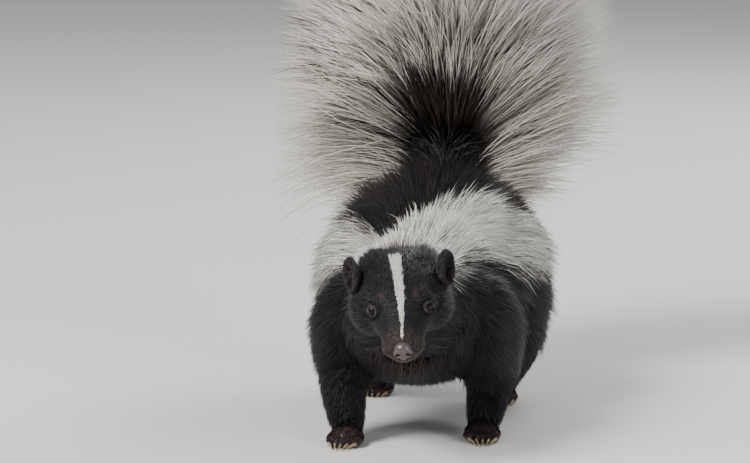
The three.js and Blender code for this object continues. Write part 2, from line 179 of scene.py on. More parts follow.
def head_balls(rows):
    """Balls in the head's own frame, from rows of x, y, z and three radii in mm."""
    return [ball(head(x, y, z), radii, HEAD_TURN) for x, y, z, radii in rows]


def join(pieces, name):
    for piece in pieces:
        settle(piece)
    only(*pieces)
    bpy.ops.object.join()
    made = bpy.context.object
    made.name = made.data.name = name
    return made


def apply(piece, kind, **values):
    modifier = piece.modifiers.new(kind.lower(), kind)
    for key, value in values.items():
        setattr(modifier, key, value)
    only(piece)
    bpy.ops.object.modifier_apply(modifier=modifier.name)


def wrap(piece, voxel, rounds):
    """One closed surface round all the joined forms, with its steps smoothed out."""
    apply(piece, "REMESH", mode="VOXEL", voxel_size=voxel * MM)
    apply(piece, "SMOOTH", factor=0.5, iterations=rounds)
    bpy.ops.object.shade_smooth()


# %% Rows of balls along a line
def smooth_line(stations, step):
    """Points along smooth stations [x, y, z, half width, half height], about step mm apart."""
    table = np.array(stations, float)
    gaps = np.linalg.norm(np.diff(table[:, :3], axis=0), axis=1)
    along = np.concatenate([[0], np.cumsum(gaps)])
    slope = np.gradient(table, along, axis=0)
    rows = []
    for mark in np.linspace(0, along[-1], max(2, int(along[-1] / step) + 1)):
        k = min(len(along) - 2, int(np.searchsorted(along, mark, side="right")) - 1)
        span = along[k + 1] - along[k]
        u = (mark - along[k]) / span
        rows.append(
            (2 * u**3 - 3 * u**2 + 1) * table[k]
            + (u**3 - 2 * u**2 + u) * (slope[k] * span)
            + (3 * u**2 - 2 * u**3) * table[k + 1]
            + (u**3 - u**2) * (slope[k + 1] * span)
        )
    return np.array(rows)


def limb(stations, place, frame_turn=None, step=6, squash=0.55):
    """A row of balls along the stations, each one squashed along the line."""
    rows = smooth_line(stations, step)
    made = []
    for row, tangent in zip(rows, np.gradient(rows[:, :3], axis=0)):
        forward = Vector(tangent).normalized()
        up = Vector((1, 0, 0)).cross(forward).normalized()
        turn = Matrix((forward.cross(up), forward, up)).transposed()
        if frame_turn:
            turn = frame_turn @ turn
        length = max(3.0, squash * min(row[3], row[4]))
        made.append(ball(place(*row[:3]), (row[3], length, row[4]), turn))
    return made


# %% [markdown]
# ## The skin
# On a real skunk the skin lies well under the coat: a centimetre or more on the back and the
# flanks, and only a millimetre or two on the face and the feet. So the skin's sizes are the
# solids' sizes less the depth of the coat at each place. Each station gives a place on the
# middle line and the half width and half height there.

# %% Stations of the flesh
BACK_COAT = 13
BELLY_COAT = 5


def trunk_station(y, half, top, bottom):
    top, bottom, half = top - BACK_COAT, bottom + BELLY_COAT, half - BACK_COAT
    return [0, y, (top + bottom) / 2, half, (top - bottom) / 2]


TRUNK = [
    trunk_station(-104, SHOULDER_HALF * 0.74, SHOULDER_HEIGHT - 24, BELLY_HEIGHT + 16),
    trunk_station(-76, SHOULDER_HALF, SHOULDER_HEIGHT - 2, BELLY_HEIGHT + 4),
    trunk_station(-30, SHOULDER_HALF + 1, SHOULDER_HEIGHT + 5, BELLY_HEIGHT),
    trunk_station(18, (SHOULDER_HALF + HIP_HALF) / 2, RUMP_HEIGHT - 12, BELLY_HEIGHT),
    trunk_station(64, HIP_HALF, RUMP_HEIGHT, BELLY_HEIGHT),
    trunk_station(104, HIP_HALF - 4, RUMP_HEIGHT, BELLY_HEIGHT + 6),
    trunk_station(138, HIP_HALF * 0.66, RUMP_HEIGHT - 14, BELLY_HEIGHT + 30),
]
NECK = [
    [0, -158, 116, 24, 22],
    [0, -138, 110, 31, 28],
    [0, -112, 100, 42, 38],
    [0, -80, 90, 52, 42],
]
SKULL = [
    [0, -40, -13, 7, 6.6],
    [0, -33, -11.5, 10.5, 9],
    [0, -23, -8.5, 15.5, 13],
    [0, -11, -4, 22, 19],
    [0, 3, -1, 28.5, 24.5],
    [0, 18, 0, 30, 26.5],
    [0, 32, -4, 27, 24],
]
TAIL = [
    [0, 122, 124, 17, 17],
    [0, 164, 152, 14, 14],
    [0, 188, 192, 12.5, 12.5],
    [0, 199, 244, 11, 11],
    [0, 198, 298, 9, 9],
    [0, 187, 340, 7, 7],
    [0, 176, 366, 5, 5],
]
STEPS = {
    "fore": {"left": -84 + FORE_STEP, "right": -84 - FORE_STEP},
    "hind": {"left": 98 - HIND_STEP, "right": 98 + HIND_STEP},
}


def foreleg(hand):
    side, step = SIDES[hand], STEPS["fore"][hand]
    return [
        [side * 40, -74, 96, 24, 28],
        [side * 50, -68, 72, 22, 26],
        [side * 52, -62 + 0.4 * (step + 82), 48, 17, 20],
        [side * 50, step + 13, 27, 13, 15],
        [side * TRACK_HALF, step + 7, 12, 10.5, 11],
    ]


def hindleg(hand):
    side, step = SIDES[hand], STEPS["hind"][hand]
    return [
        [side * 42, 92, 98, 28, 38],
        [side * 52, 88, 74, 25, 38],
        [side * 56, (88 + step) / 2, 50, 20, 28],
        [side * 53, step + 19, 27, 13, 16],
        [side * TRACK_HALF, step + 15, 12, 10.5, 11],
    ]


# %% One skin round all the flesh
SKIN_VOXEL = 2.3
PAIRED_FLESH = {
    "cheek": (19, 8, -8, (13.2, 20, 15.2)),
    "whisker pad": (7.6, -32, -14.5, (7.6, 9.6, 6.6)),
    "brow": (14.5, -11, 11.5, (7.4, 8, 4.4)),
}
MIDDLE_FLESH = {
    "chin": (0, -30, -21, (9.6, 11, 6)),
    "jaw": (0, -14, -20, (14, 16, 8)),
}

flesh = limb(SKULL, head, HEAD_TURN, step=5)
for side in SIDES.values():
    flesh += head_balls([(side * x, y, z, radii) for x, y, z, radii in PAIRED_FLESH.values()])
flesh += head_balls(MIDDLE_FLESH.values())
flesh += limb(NECK, body, step=7) + limb(TRUNK, body, step=12)
for hand in SIDES:
    flesh += limb(foreleg(hand), body) + limb(hindleg(hand), body)
flesh += limb(TAIL, body, step=5, squash=0.7)
skin = join(flesh, "skin")
wrap(skin, SKIN_VOXEL, 14)
print("skin faces", len(skin.data.polygons))

# %% [markdown]
# ## Finer skin on the head
# The remesh gives the same coarse squares everywhere. A face needs smaller ones, so the faces
# of the head are selected by their place and subdivided, and the muzzle and the rings round
# the eyes once more. A finer remesh of the whole skin would cost far more squares.

# %% Points of a mesh as a table
def read(things, key, width, kind=float):
    values = np.empty(len(things) * width, kind)
    things.foreach_get(key, values)
    return values.reshape(-1, width)


def coordinates(piece):
    return read(piece.data.vertices, "co", 3)


def set_coordinates(piece, points):
    piece.data.vertices.foreach_set("co", np.ascontiguousarray(points).ravel())
    piece.data.update()


def to_head(points):
    """Metres in the model to mm in the head's own frame."""
    return (points / MM - np.array(SHIFT) - np.array(HEAD_AT)) @ np.array(HEAD_TURN)


def from_head(points):
    return (points @ np.array(HEAD_TURN).T + np.array(HEAD_AT) + np.array(SHIFT)) * MM


def to_body(points):
    return points / MM - np.array(SHIFT)


# %% Subdivide the head
HEAD_BACK = 34
FACE_BACK = -8


def subdivide_where(piece, inside):
    """Subdivides the faces whose middles satisfy inside, in head mm."""
    only(piece)
    chosen = inside(to_head(read(piece.data.polygons, "center", 3)))
    for things in (piece.data.vertices, piece.data.edges):
        things.foreach_set("select", np.zeros(len(things), bool))
    piece.data.polygons.foreach_set("select", chosen)
    bpy.ops.object.mode_set(mode="EDIT")
    bpy.ops.mesh.select_mode(type="FACE")
    bpy.ops.mesh.subdivide(number_cuts=1)
    bpy.ops.object.mode_set(mode="OBJECT")
    return int(chosen.sum())


def near_eyes(p, reach):
    gaps = [np.linalg.norm(p - np.array(eye), axis=1) for eye in EYE_LOCAL.values()]
    return np.minimum(*gaps) < reach


on_head = subdivide_where(skin, lambda p: (p[:, 1] < HEAD_BACK) & (np.abs(p[:, 0]) < 40))
on_face = subdivide_where(skin, lambda p: (p[:, 1] < FACE_BACK) | near_eyes(p, 12))
at_eyes = subdivide_where(skin, lambda p: near_eyes(p, 8.5))
print("faces subdivided: head", on_head, "face", on_face, "eyes", at_eyes)

# %% [markdown]
# ## Shaping the face
# The eyeballs sit in sockets, with a lid above and below. Sculpting would do it by eye. Here
# the skin is pushed by smooth falloffs of the distance from the eye's opening: it comes down
# on the eyeball as a lid, and inside the opening it sinks behind the eyeball.

# %% Sockets and lids
EYE_LOOK = {
    hand: Vector((side * 0.62, -0.76, 0.2)).normalized() for hand, side in SIDES.items()
}
OPENING_HALF = 3.9  # half the width of the eye's opening
OPENING_TALL = 3.1  # half its height
LID_THICKNESS = 0.8
LID_REACH = 2.6  # how far the lid spreads, in openings


def smooth_step(low, high, value):
    t = np.clip((value - low) / (high - low), 0, 1)
    return t * t * (3 - 2 * t)


def shape_eye(p, hand):
    look = np.array(EYE_LOOK[hand])
    across = np.cross(look, (0, 0, 1.0))
    across /= np.linalg.norm(across)
    above = np.cross(across, look)
    q = p - np.array(EYE_LOCAL[hand])
    a, b, d = q @ across, q @ above, q @ look
    ring = np.sqrt((a / OPENING_HALF) ** 2 + (b / OPENING_TALL) ** 2)
    dome = np.sqrt(np.clip((EYE_RADIUS + LID_THICKNESS) ** 2 - a * a - b * b, 0.5, None))
    front = d > -2
    target = dome + 0.15 - 0.5 * smooth_step(1.2, 2.4, ring)
    weight = smooth_step(LID_REACH, 1.45, ring)
    moved = np.where(front & (ring < LID_REACH), d + (target - d) * weight, d)
    moved = np.where(front & (ring < 1.0), 0.5, moved)
    return p + (moved - d)[:, None] * look


face = to_head(coordinates(skin))
for hand in SIDES:
    face = shape_eye(face, hand)
set_coordinates(skin, from_head(face))
print("skin vertices", len(face))

# %% [markdown]
# ## Markings
# Skin and coat wear the same pattern, so it is written once as a function of the place on the
# body: 1 is white and 0 is black. A painted image could hold it, but a function stays sharp
# and needs no file. White are the narrow blaze down the forehead and the cape from the nape
# over the shoulders, which ends in two short stripes with a black wedge of the back between
# them.

# %% White stripes
def wander(points, scale, seed):
    """A cheap smooth wobble of about -1 to 1 that changes over scale mm."""
    rng = np.random.default_rng(seed)
    total = np.zeros(len(points))
    for octave in range(3):
        waves = rng.normal(size=(3, 3)) * (1.7**octave) / scale
        phases = rng.uniform(0, 6.3, 3)
        total += np.sin(points @ waves.T + phases).sum(1) / (3 * 1.5**octave)
    return total


def blaze(h):
    """How white the forehead is, at points in head mm."""
    x, y, z = h.T
    middle = np.interp(y, [-40, -18, -2, 14], [0.2, 0.9, -0.4, -1.6])
    half = 0.2 + 2.6 * smooth_step(-42, -8, y) + 1.0 * smooth_step(-6, 10, y)
    edge = 0.3 * wander(h, 3.5, 4)
    inside = smooth_step(0.5, -0.5, np.abs(x - middle) - half + edge)
    ends = smooth_step(-41, -38, y) * smooth_step(17, 14, y + 0.5 * edge)
    return inside * smooth_step(-12, -8, z) * ends


def cape(b):
    """How white the neck and shoulders are, at points in body mm. Its edges are tables of
    degrees round the body, from the top, against the place along it."""
    x, y, z = b.T
    axis = 96 + 0.12 * (y + 80)
    angle = np.degrees(np.arctan2(x, z - axis))
    wobble = 7 * wander(b, 30, 9)
    along = [-140, -90, -55, -20, 20, 85]
    outer = np.where(
        x < 0,
        np.interp(y, along, [30, 38, 62, 84, 92, 76]),
        np.interp(y, along, [30, 39, 54, 70, 82, 74]),
    )
    outer += 0.5 * wobble
    wedge_left = np.interp(y, [-88, -60, -25, 10, 50, 85], [-24, -8, 14, 36, 48, 70])
    wedge_right = np.interp(y, [-88, -76, -50, -20, 10, 85], [-24, -30, -36, -44, -54, -72])
    on_left = angle > (wedge_right + wedge_left) / 2
    to_edge = np.where(on_left, angle - wedge_left, wedge_right - angle) + 0.6 * wobble
    sides = smooth_step(-6, 6, to_edge) * smooth_step(outer + 5, outer - 5, np.abs(angle))
    return sides * smooth_step(84, 60, y + wobble) * smooth_step(-168, -162, y)


def pattern(points):
    """1 for white and 0 for black at points in metres."""
    h, b = to_head(points), to_body(points)
    on_head = (h[:, 1] < 33) & (np.abs(h[:, 0]) < 44) & (b[:, 1] < -130)
    return np.where(on_head, blaze(h), cape(b))


# %% Brown hair
def warm(points):
    """How brown the hair is: on the muzzle, the chin, the chest and over each eye."""
    h, b = to_head(points), to_body(points)
    muzzle = 0.85 * smooth_step(-23, -36, h[:, 1] + 0.35 * (h[:, 2] + 12))
    chin = smooth_step(-17, -21, h[:, 2]) * smooth_step(0, -12, h[:, 1])
    spots = np.zeros(len(h))
    for side in SIDES.values():
        gap = np.linalg.norm(h - np.array([side * 11, -14.5, 12.5]), axis=1)
        spots = np.maximum(spots, smooth_step(4.6, 1.5, gap))
    chest = 0.2 * smooth_step(-90, -120, b[:, 1]) * smooth_step(92, 70, b[:, 2])
    on_head = b[:, 1] < -150
    return np.clip(np.where(on_head, np.maximum(np.maximum(muzzle, chin), spots), chest), 0, 1)


print("white share of the skin", round(float(pattern(coordinates(skin)).mean()), 3))

# %% [markdown]
# ## Skin finish
# Hardly any skin shows, but where the hair parts it has to be dark under black hair and pale
# under white hair. The pattern is stored on the skin's points, and the material mixes two
# shades with a fine mottle and small pores. The helpers serve every bare finish: a colour
# that wanders between two shades, and a fine relief that only the light shows.

# %% Helpers for materials
def principled(name):
    material = bpy.data.materials.new(name)
    material.use_nodes = True
    return material, material.node_tree, material.node_tree.nodes["Principled BSDF"]


def node(tree, kind, at, **values):
    made = tree.nodes.new(kind)
    made.location = at
    for key, value in values.items():
        setattr(made, key, value)
    return made


def feed(tree, value, socket):
    """Links an output to the socket, or sets the socket to a number or colour."""
    if hasattr(value, "links"):
        tree.links.new(value, socket)
    else:
        socket.default_value = value


def mix(tree, at, factor, a, b):
    made = node(tree, "ShaderNodeMix", at, data_type="RGBA")
    for socket, value in ((0, factor), (6, a), (7, b)):
        feed(tree, value, made.inputs[socket])
    return made.outputs[2]


def stored(tree, name, at=(-900, 300)):
    """The number that the piece carries under this name."""
    return node(tree, "ShaderNodeAttribute", at, attribute_name=name).outputs["Fac"]


def store(piece, name, values):
    piece.data.attributes.new(name, "FLOAT", "POINT").data.foreach_set("value", values)


def texture(tree, kind, scale, at):
    """A noise or cell pattern in the piece's own space."""
    made = node(tree, f"ShaderNodeTex{kind}", at)
    made.inputs["Scale"].default_value = scale
    place = node(tree, "ShaderNodeTexCoord", (at[0] - 200, at[1]))
    tree.links.new(place.outputs["Object"], made.inputs["Vector"])
    return made


def relief(tree, shader, height, strength, depth):
    bump = node(tree, "ShaderNodeBump", (-300, -400))
    bump.inputs["Strength"].default_value = strength
    bump.inputs["Distance"].default_value = depth
    tree.links.new(height, bump.inputs["Height"])
    tree.links.new(bump.outputs["Normal"], shader.inputs["Normal"])


def mottled(name, scale, shade, light, roughness):
    """A finish between two shades. Gives its material, tree, shader, noise and colour."""
    material, tree, shader = principled(name)
    noise = texture(tree, "Noise", scale, (-900, 0))
    colour = mix(tree, (-600, 0), noise.outputs["Fac"], (*shade, 1), (*light, 1))
    tree.links.new(colour, shader.inputs["Base Color"])
    shader.inputs["Roughness"].default_value = roughness
    return material, tree, shader, noise, colour


def hand_over(piece, slot, *replaced):
    """Tells the frame what the piece rides on and hides the solids that it replaces. The slot is
    not used.
    """
    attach(piece, "root")
    if replaced:
        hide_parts(*replaced)


# %% Skin material
DARK_SKIN = ((0.008, 0.007, 0.008), (0.02, 0.016, 0.016))
PALE_SKIN = ((0.5, 0.45, 0.4, 1), (0.66, 0.62, 0.57, 1))

skin_finish, tree, shader, mottle, dark = mottled("skin", 220, *DARK_SKIN, 0.75)
mottle.inputs["Detail"].default_value = 4
pale = mix(tree, (-600, -200), mottle.outputs["Fac"], *PALE_SKIN)
both = mix(tree, (-300, 100), stored(tree, "white"), dark, pale)
tree.links.new(both, shader.inputs["Base Color"])
pores = texture(tree, "Noise", 900, (-900, -500))
relief(tree, shader, pores.outputs["Fac"], 0.5, 0.0006)
skin.data.materials.append(skin_finish)
store(skin, "white", pattern(coordinates(skin)))
hand_over(
    skin, "black_fur",
    "head", "jaw", "neck", "trunk",
    "foreleg_left", "foreleg_right", "hindleg_left", "hindleg_right",
    "tail_root", "tail_middle", "tail_tip",
)

# %% [markdown]
# ## Eyes
# A skunk's eye is small, round and almost wholly dark: a black pupil in a brown-black iris
# under a wet cornea. The eyeball is a sphere primitive whose front is drawn out into the
# cornea, and a number stored on its points, the angle from the line of sight, colours it. A
# thin rim of moist lid is a torus primitive, flattened to the opening, dark at its top and
# pale from the middle down.

# %% Eye finishes
EYE_SHADES = (
    (0.42, (0.001, 0.001, 0.001, 1)),
    (0.5, (0.009, 0.005, 0.003, 1)),
    (0.78, (0.005, 0.003, 0.002, 1)),
)

wet_eye, tree, shader = principled("wet_eye")
ramp = node(tree, "ShaderNodeValToRGB", (-600, 0))
tree.links.new(stored(tree, "ring"), ramp.inputs["Fac"])
stops = ramp.color_ramp.elements
stops[0].color = (0.001, 0.001, 0.001, 1)
stops[1].color = (0.004, 0.003, 0.003, 1)
for place, shade in EYE_SHADES:
    stops.new(place).color = shade
tree.links.new(ramp.outputs["Color"], shader.inputs["Base Color"])
shader.inputs["Roughness"].default_value = 0.03
shader.inputs["Specular IOR Level"].default_value = 0.22

lid_rim_finish, tree, shader, noise, pale = mottled(
    "lid_rim", 1400, (0.12, 0.10, 0.10), (0.27, 0.23, 0.225), 0.3
)
rim_colour = mix(tree, (-300, 100), stored(tree, "low"), (0.012, 0.01, 0.01, 1), pale)
tree.links.new(rim_colour, shader.inputs["Base Color"])

# %% Eyeballs and rims
CORNEA_BULGE = 0.45
RIM_RADIUS = 3.55
RIM_THICKNESS = 0.27
RIM_AHEAD = 3.0
RIM_DROP = 0.3


def look_turn(hand):
    return (HEAD_TURN @ EYE_LOOK[hand]).to_track_quat("Z", "Y").to_matrix()


def eyeball(hand):
    eye = ball(head(*EYE_LOCAL[hand]), (EYE_RADIUS,) * 3, look_turn(hand), 48, 32)
    settle(eye)
    eye.name = eye.data.name = f"eyeball_{hand}"
    points = coordinates(eye)
    look = np.array(HEAD_TURN @ EYE_LOOK[hand])
    middle = np.array(head(*EYE_LOCAL[hand]))
    angle = np.arccos(np.clip(((points - middle) @ look) / (EYE_RADIUS * MM), -1, 1))
    points += look * (CORNEA_BULGE * MM * smooth_step(0.62, 0.1, angle))[:, None]
    set_coordinates(eye, points)
    store(eye, "ring", np.clip(angle / 0.95, 0, 1))
    eye.data.materials.append(wet_eye)
    bpy.ops.object.shade_smooth()
    hand_over(eye, "eye", f"eye_{hand}")
    return eye


def lid_rim(hand):
    only()
    bpy.ops.mesh.primitive_torus_add(
        major_segments=40, minor_segments=10,
        major_radius=RIM_RADIUS * MM, minor_radius=RIM_THICKNESS * MM,
    )
    rim = bpy.context.object
    rim.scale = (1.08, 0.88, 1.1)
    settle(rim)
    rim.location = head(*(EYE_LOCAL[hand] + EYE_LOOK[hand] * RIM_AHEAD))
    rim.location -= Vector((0, 0, RIM_DROP * MM))
    rim.rotation_mode = "QUATERNION"
    rim.rotation_quaternion = look_turn(hand).to_quaternion()
    settle(rim)
    rim.name = rim.data.name = f"lid_rim_{hand}"
    depth = (head(*EYE_LOCAL[hand]).z - coordinates(rim)[:, 2]) / (EYE_RADIUS * MM)
    store(rim, "low", smooth_step(-0.8, 0.2, depth))
    rim.data.materials.append(lid_rim_finish)
    bpy.ops.object.shade_smooth()
    hand_over(rim, "nose_skin")
    return rim


for hand in SIDES:
    for made in (eyeball(hand), lid_rim(hand)):
        print(made.name, "faces", len(made.data.polygons))

# %% [markdown]
# ## Nose
# The nose pad is bare, moist, pinkish grey skin with a fine pebble grain, two comma-shaped
# nostrils and a groove down the middle to the lip. Balls make the pad, smaller balls are cut
# away for the nostrils by a Boolean modifier, and a fine remesh rounds all its edges. A bump
# alone would give the nostrils no depth from the side.

# %% Nose pad
NOSE_FLESH = (
    (0, -42, -12, (6.2, 5.6, 5.4)),
    (3.1, -44.2, -13, (3.6, 3.6, 3.5)),
    (-3.1, -44.2, -13, (3.6, 3.6, 3.5)),
    (0, -44, -15.6, (2.8, 3.2, 3.2)),
)
NOSTRIL = ((3.3, -47.6, -12.9, (1.5, 2.6, 1.25)), (5.3, -46, -13.9, (1.9, 2.2, 0.65)))
GROOVE = (0, -48.2, -15.8, (0.5, 1.6, 3.6))


def cut_away(piece, cutters):
    for tool in cutters:
        settle(tool)
        apply(piece, "BOOLEAN", operation="DIFFERENCE", object=tool, solver="EXACT")
        bpy.data.objects.remove(tool)


nose = join(head_balls(NOSE_FLESH), "nose_pad")
wrap(nose, 0.45, 8)
cuts = [(side * x, y, z, radii) for side in SIDES.values() for x, y, z, radii in NOSTRIL]
cut_away(nose, head_balls([*cuts, GROOVE]))
wrap(nose, 0.3, 3)
nose_finish, tree, shader, _, _ = mottled(
    "nose_skin", 260, (0.036, 0.025, 0.027), (0.095, 0.068, 0.072), 0.36
)
pebbles = texture(tree, "Voronoi", 1500, (-900, -400))
relief(tree, shader, pebbles.outputs["Distance"], 0.45, 0.0002)
shader.inputs["Coat Weight"].default_value = 0.35
shader.inputs["Coat Roughness"].default_value = 0.18
nose.data.materials.append(nose_finish)
hand_over(nose, "nose_skin", "nose")
print("nose faces", len(nose.data.polygons))

# %% [markdown]
# ## Ears
# The ear is a short rounded cup that opens forwards and outwards, dark outside and brown
# within. A stretched ball is hollowed by another and remeshed, which leaves a soft rolled
# rim. A bent sheet with a Solidify modifier would have the same thickness all over.

# %% Ear cups
EAR_HEIGHT = 25
EAR_WIDTH = 19


def ear_cup(hand):
    side = SIDES[hand]
    at = head(side * 32.5, 14, 15.5)
    turn = (
        HEAD_TURN
        @ Matrix.Rotation(side * 1.08, 3, "Z")
        @ Matrix.Rotation(side * 0.16, 3, "Y")
        @ Matrix.Rotation(-0.1, 3, "X")
    )

    def part(x, y, z, radii):
        return ball(at + turn @ Vector((x, y, z)) * MM, radii, turn, 40, 24)

    cup = part(0, 0, 0, (EAR_WIDTH / 2 - 0.6, 4.2, EAR_HEIGHT / 2))
    settle(cup)
    hollow = part(0, -2.9, 0.2, (EAR_WIDTH / 2 - 2.2, 4.4, EAR_HEIGHT / 2 - 2.0))
    canal = part(-side * 1.5, -0.4, -5.5, (3.2, 4.5, 3.8))
    cut_away(cup, [hollow, canal])
    fold = part(side * 3.2, -1.2, -6, (1.3, 2.2, 4.2))
    cup = join([cup, fold], f"ear_cup_{hand}")
    wrap(cup, 0.5, 6)
    return cup


ear_finish, tree, shader, noise, _ = mottled(
    "ear_skin", 500, (0.02, 0.011, 0.010), (0.07, 0.032, 0.025), 0.6
)
relief(tree, shader, noise.outputs["Fac"], 0.4, 0.0004)
ears = {}
for hand in SIDES:
    cup = ears[hand] = ear_cup(hand)
    cup.data.materials.append(ear_finish)
    hand_over(cup, "ear_skin", f"ear_{hand}")
    print(cup.name, "faces", len(cup.data.polygons))

# %% [markdown]
# ## Feet and claws
# A skunk walks on its whole sole. Each foot is a palm with five short toes that end in curved
# claws, long ones in front for digging. The palm, its pads and the toes are balls wrapped
# together, and what would go under the floor is pressed flat on it. A claw is a cone
# primitive laid forwards and bent down.

# %% Feet
PAD_PLACES = ((-5, 1), (0, -3), (5, 1))
TOES = range(-2, 3)


def toe(n, length, turn):
    """The turn of toe n, and how far it lies ahead of the middle of the foot."""
    return turn @ Matrix.Rotation(-n * 0.2, 3, "Z"), length * 0.34 - abs(n) * 1.6


def press_flat(piece, least):
    points = coordinates(piece)
    points[:, 2] = np.maximum(points[:, 2], least)
    set_coordinates(piece, points)


def foot(name, length, at, turn):
    def place(x, y, z):
        return Vector(at) + turn @ Vector((x, y, z)) * MM

    pieces = [
        ball(place(0, 0, 6.6), (10.8, length * 0.4, 7.4), turn),
        ball(place(0, length * 0.18, 11), (9.5, length * 0.26, 9), turn),
    ]
    for n in TOES:
        toe_turn, ahead = toe(n, length, turn)
        for x, y, z, radii in (
            (4.6, -ahead, 4.1, (2.9, 7.2, 3.9)),
            (4.3, -ahead + 5, 6, (2.8, 7.2, 3.6)),
            (4.6, -ahead - 1.5, 2.3, (2.5, 3.4, 2.1)),
        ):
            pieces.append(ball(place(n * x, y, z), radii, toe_turn, 16, 10))
    for x, y in PAD_PLACES:
        pieces.append(ball(place(x, y, 2.4), (3.4, 4.2, 2.4), turn, 16, 10))
    paw = join(pieces, name)
    wrap(paw, 0.8, 4)
    press_flat(paw, 0.0)
    return paw


# %% Claws
CLAW_ROOT = 1.5
CLAW_POINT = 0.12
CLAW_BEND = 2.5


def claw(place, length, turn):
    """A claw from its root forwards and down."""
    only()
    bpy.ops.mesh.primitive_cone_add(
        vertices=12, radius1=CLAW_ROOT * MM, radius2=CLAW_POINT * MM, depth=length * MM
    )
    made = bpy.context.object
    apply(made, "SUBSURF", subdivision_type="SIMPLE", levels=2, render_levels=2)
    x, y, z = coordinates(made).T
    s = z / (length * MM) + 0.5
    height = 3.0 * MM - CLAW_BEND * MM * s**2 + y * 1.1
    set_coordinates(made, np.stack([x * 0.8, -s * length * MM, height], 1))
    made.rotation_mode = "QUATERNION"
    made.rotation_quaternion = turn.to_quaternion()
    made.location = place
    bpy.ops.object.shade_smooth()
    return made


# %% Four feet
FEET = (("fore", 38, 14), ("hind", 50, 8))  # each with the length of its foot and its claws

claw_finish, *_ = mottled("claw", 420, (0.16, 0.11, 0.07), (0.42, 0.33, 0.24), 0.35)
paws = {}
for hand, side in SIDES.items():
    for end, length, claw_length in FEET:
        at = body(side * TRACK_HALF, STEPS[end][hand], 0)
        turn = Matrix.Rotation(side * 0.1, 3, "Z")
        name = f"{end}foot_{hand}"
        paw = paws[name] = foot(f"paw_{name}", length, at, turn)
        paw.data.materials.append(ear_finish)
        hand_over(paw, "black_fur", name)
        claws = []
        for n in TOES:
            toe_turn, ahead = toe(n, length, turn)
            root = at + turn @ Vector((n * 4.9, -(ahead + 4), 0)) * MM
            claws.append(claw(root, claw_length, toe_turn))
        claws = join(claws, f"claws_{name}")
        press_flat(claws, 0.0002)
        claws.data.materials.append(claw_finish)
        hand_over(claws, "claw")
        print(name, "faces", len(paw.data.polygons), "and", len(claws.data.polygons))

# %% [markdown]
# ## Hair as a material
# Every tuft carries four numbers: how far along it a point lies, where it turns from black to
# white, a random tint, and how brown it is. One node group turns them into a colour, so the
# face, back and tail share it with their own shades. Black hair is painted lighter towards its
# tip as sheen, bluish on the face, and the random tint paints some black tufts much lighter as
# strand highlights, while white tufts only vary a little in tone. White hair is creamier near
# its root.

# %% Hair colour group
def hair_group():
    group = bpy.data.node_groups.new("hair colour", "ShaderNodeTree")
    sockets = group.interface
    for name in ("Dark", "Dark tip", "Warm", "Pale", "Pale root"):
        sockets.new_socket(name=name, in_out="INPUT", socket_type="NodeSocketColor")
    sockets.new_socket(name="Softness", in_out="INPUT", socket_type="NodeSocketFloat")
    sockets.new_socket(name="Colour", in_out="OUTPUT", socket_type="NodeSocketColor")
    sockets.new_socket(name="Roughness", in_out="OUTPUT", socket_type="NodeSocketFloat")
    given = node(group, "NodeGroupInput", (-900, 0)).outputs
    end = node(group, "NodeGroupOutput", (900, 0))
    along = stored(group, "along")
    turn = stored(group, "turn", (-900, 500))
    tint = stored(group, "tint", (-900, -300))
    brown = stored(group, "warm", (-900, -500))

    def work_out(at, kind, *values):
        made = node(group, "ShaderNodeMath", at, operation=kind)
        for value, socket in zip(values, made.inputs):
            feed(group, value, socket)
        return made.outputs[0]

    def shaded(at, colour, amount, gain, base):
        """The colour, lighter or darker from tuft to tuft: painted strand highlights on black
        tufts, random tone on white ones.
        """
        level = work_out((at[0] - 150, at[1] - 120), "MULTIPLY_ADD", amount, gain, base)
        made = node(group, "ShaderNodeHueSaturation", at)
        feed(group, colour, made.inputs["Color"])
        feed(group, level, made.inputs["Value"])
        return made.outputs["Color"]

    whiten = node(group, "ShaderNodeMapRange", (-350, 400), interpolation_type="SMOOTHSTEP")
    low = work_out((-600, 400), "SUBTRACT", turn, given["Softness"])
    high = work_out((-600, 550), "ADD", turn, given["Softness"])
    for key, value in (("Value", along), ("From Min", low), ("From Max", high)):
        feed(group, value, whiten.inputs[key])
    # Black hair is painted lighter towards its tip as sheen, in its tip shade.
    tip = work_out((-600, 100), "MULTIPLY", along, along)
    dark = mix(group, (-350, 150), tip, given["Dark"], given["Dark tip"])
    dark = mix(group, (-150, 200), brown, dark, given["Warm"])
    pale = mix(group, (-350, -100), along, given["Pale root"], given["Pale"])
    # Black tufts are painted up to several times lighter at random as strand highlights of sheen;
    # white tufts vary a little in tone.
    strand_sheen = work_out((-350, -300), "MULTIPLY", tint, tint)
    strand_sheen = work_out((-150, -300), "MULTIPLY", strand_sheen, strand_sheen)
    dark = shaded((100, 300), dark, strand_sheen, 2.4, 0.65)
    pale = shaded((100, -100), pale, tint, 0.34, 0.7)
    colour = mix(group, (350, 100), whiten.outputs[0], dark, pale)
    rough = work_out((300, -200), "MULTIPLY_ADD", tint, 0.15, 0.36)
    feed(group, colour, end.inputs["Colour"])
    feed(group, rough, end.inputs["Roughness"])
    return group


# %% Hair materials
HAIR = hair_group()
SHINE = 0.38


def hair_material(name, softness=0.1, **shades):
    """Hair with its shades, named as the group's inputs are. Softness blurs black to white."""
    material, tree, shader = principled(name)
    hair = node(tree, "ShaderNodeGroup", (-300, 0), node_tree=HAIR)
    for key, value in shades.items():
        hair.inputs[key.replace("_", " ").capitalize()].default_value = (*value, 1)
    hair.inputs["Softness"].default_value = softness
    tree.links.new(hair.outputs["Colour"], shader.inputs["Base Color"])
    tree.links.new(hair.outputs["Roughness"], shader.inputs["Roughness"])
    shader.inputs["Specular IOR Level"].default_value = SHINE
    return material
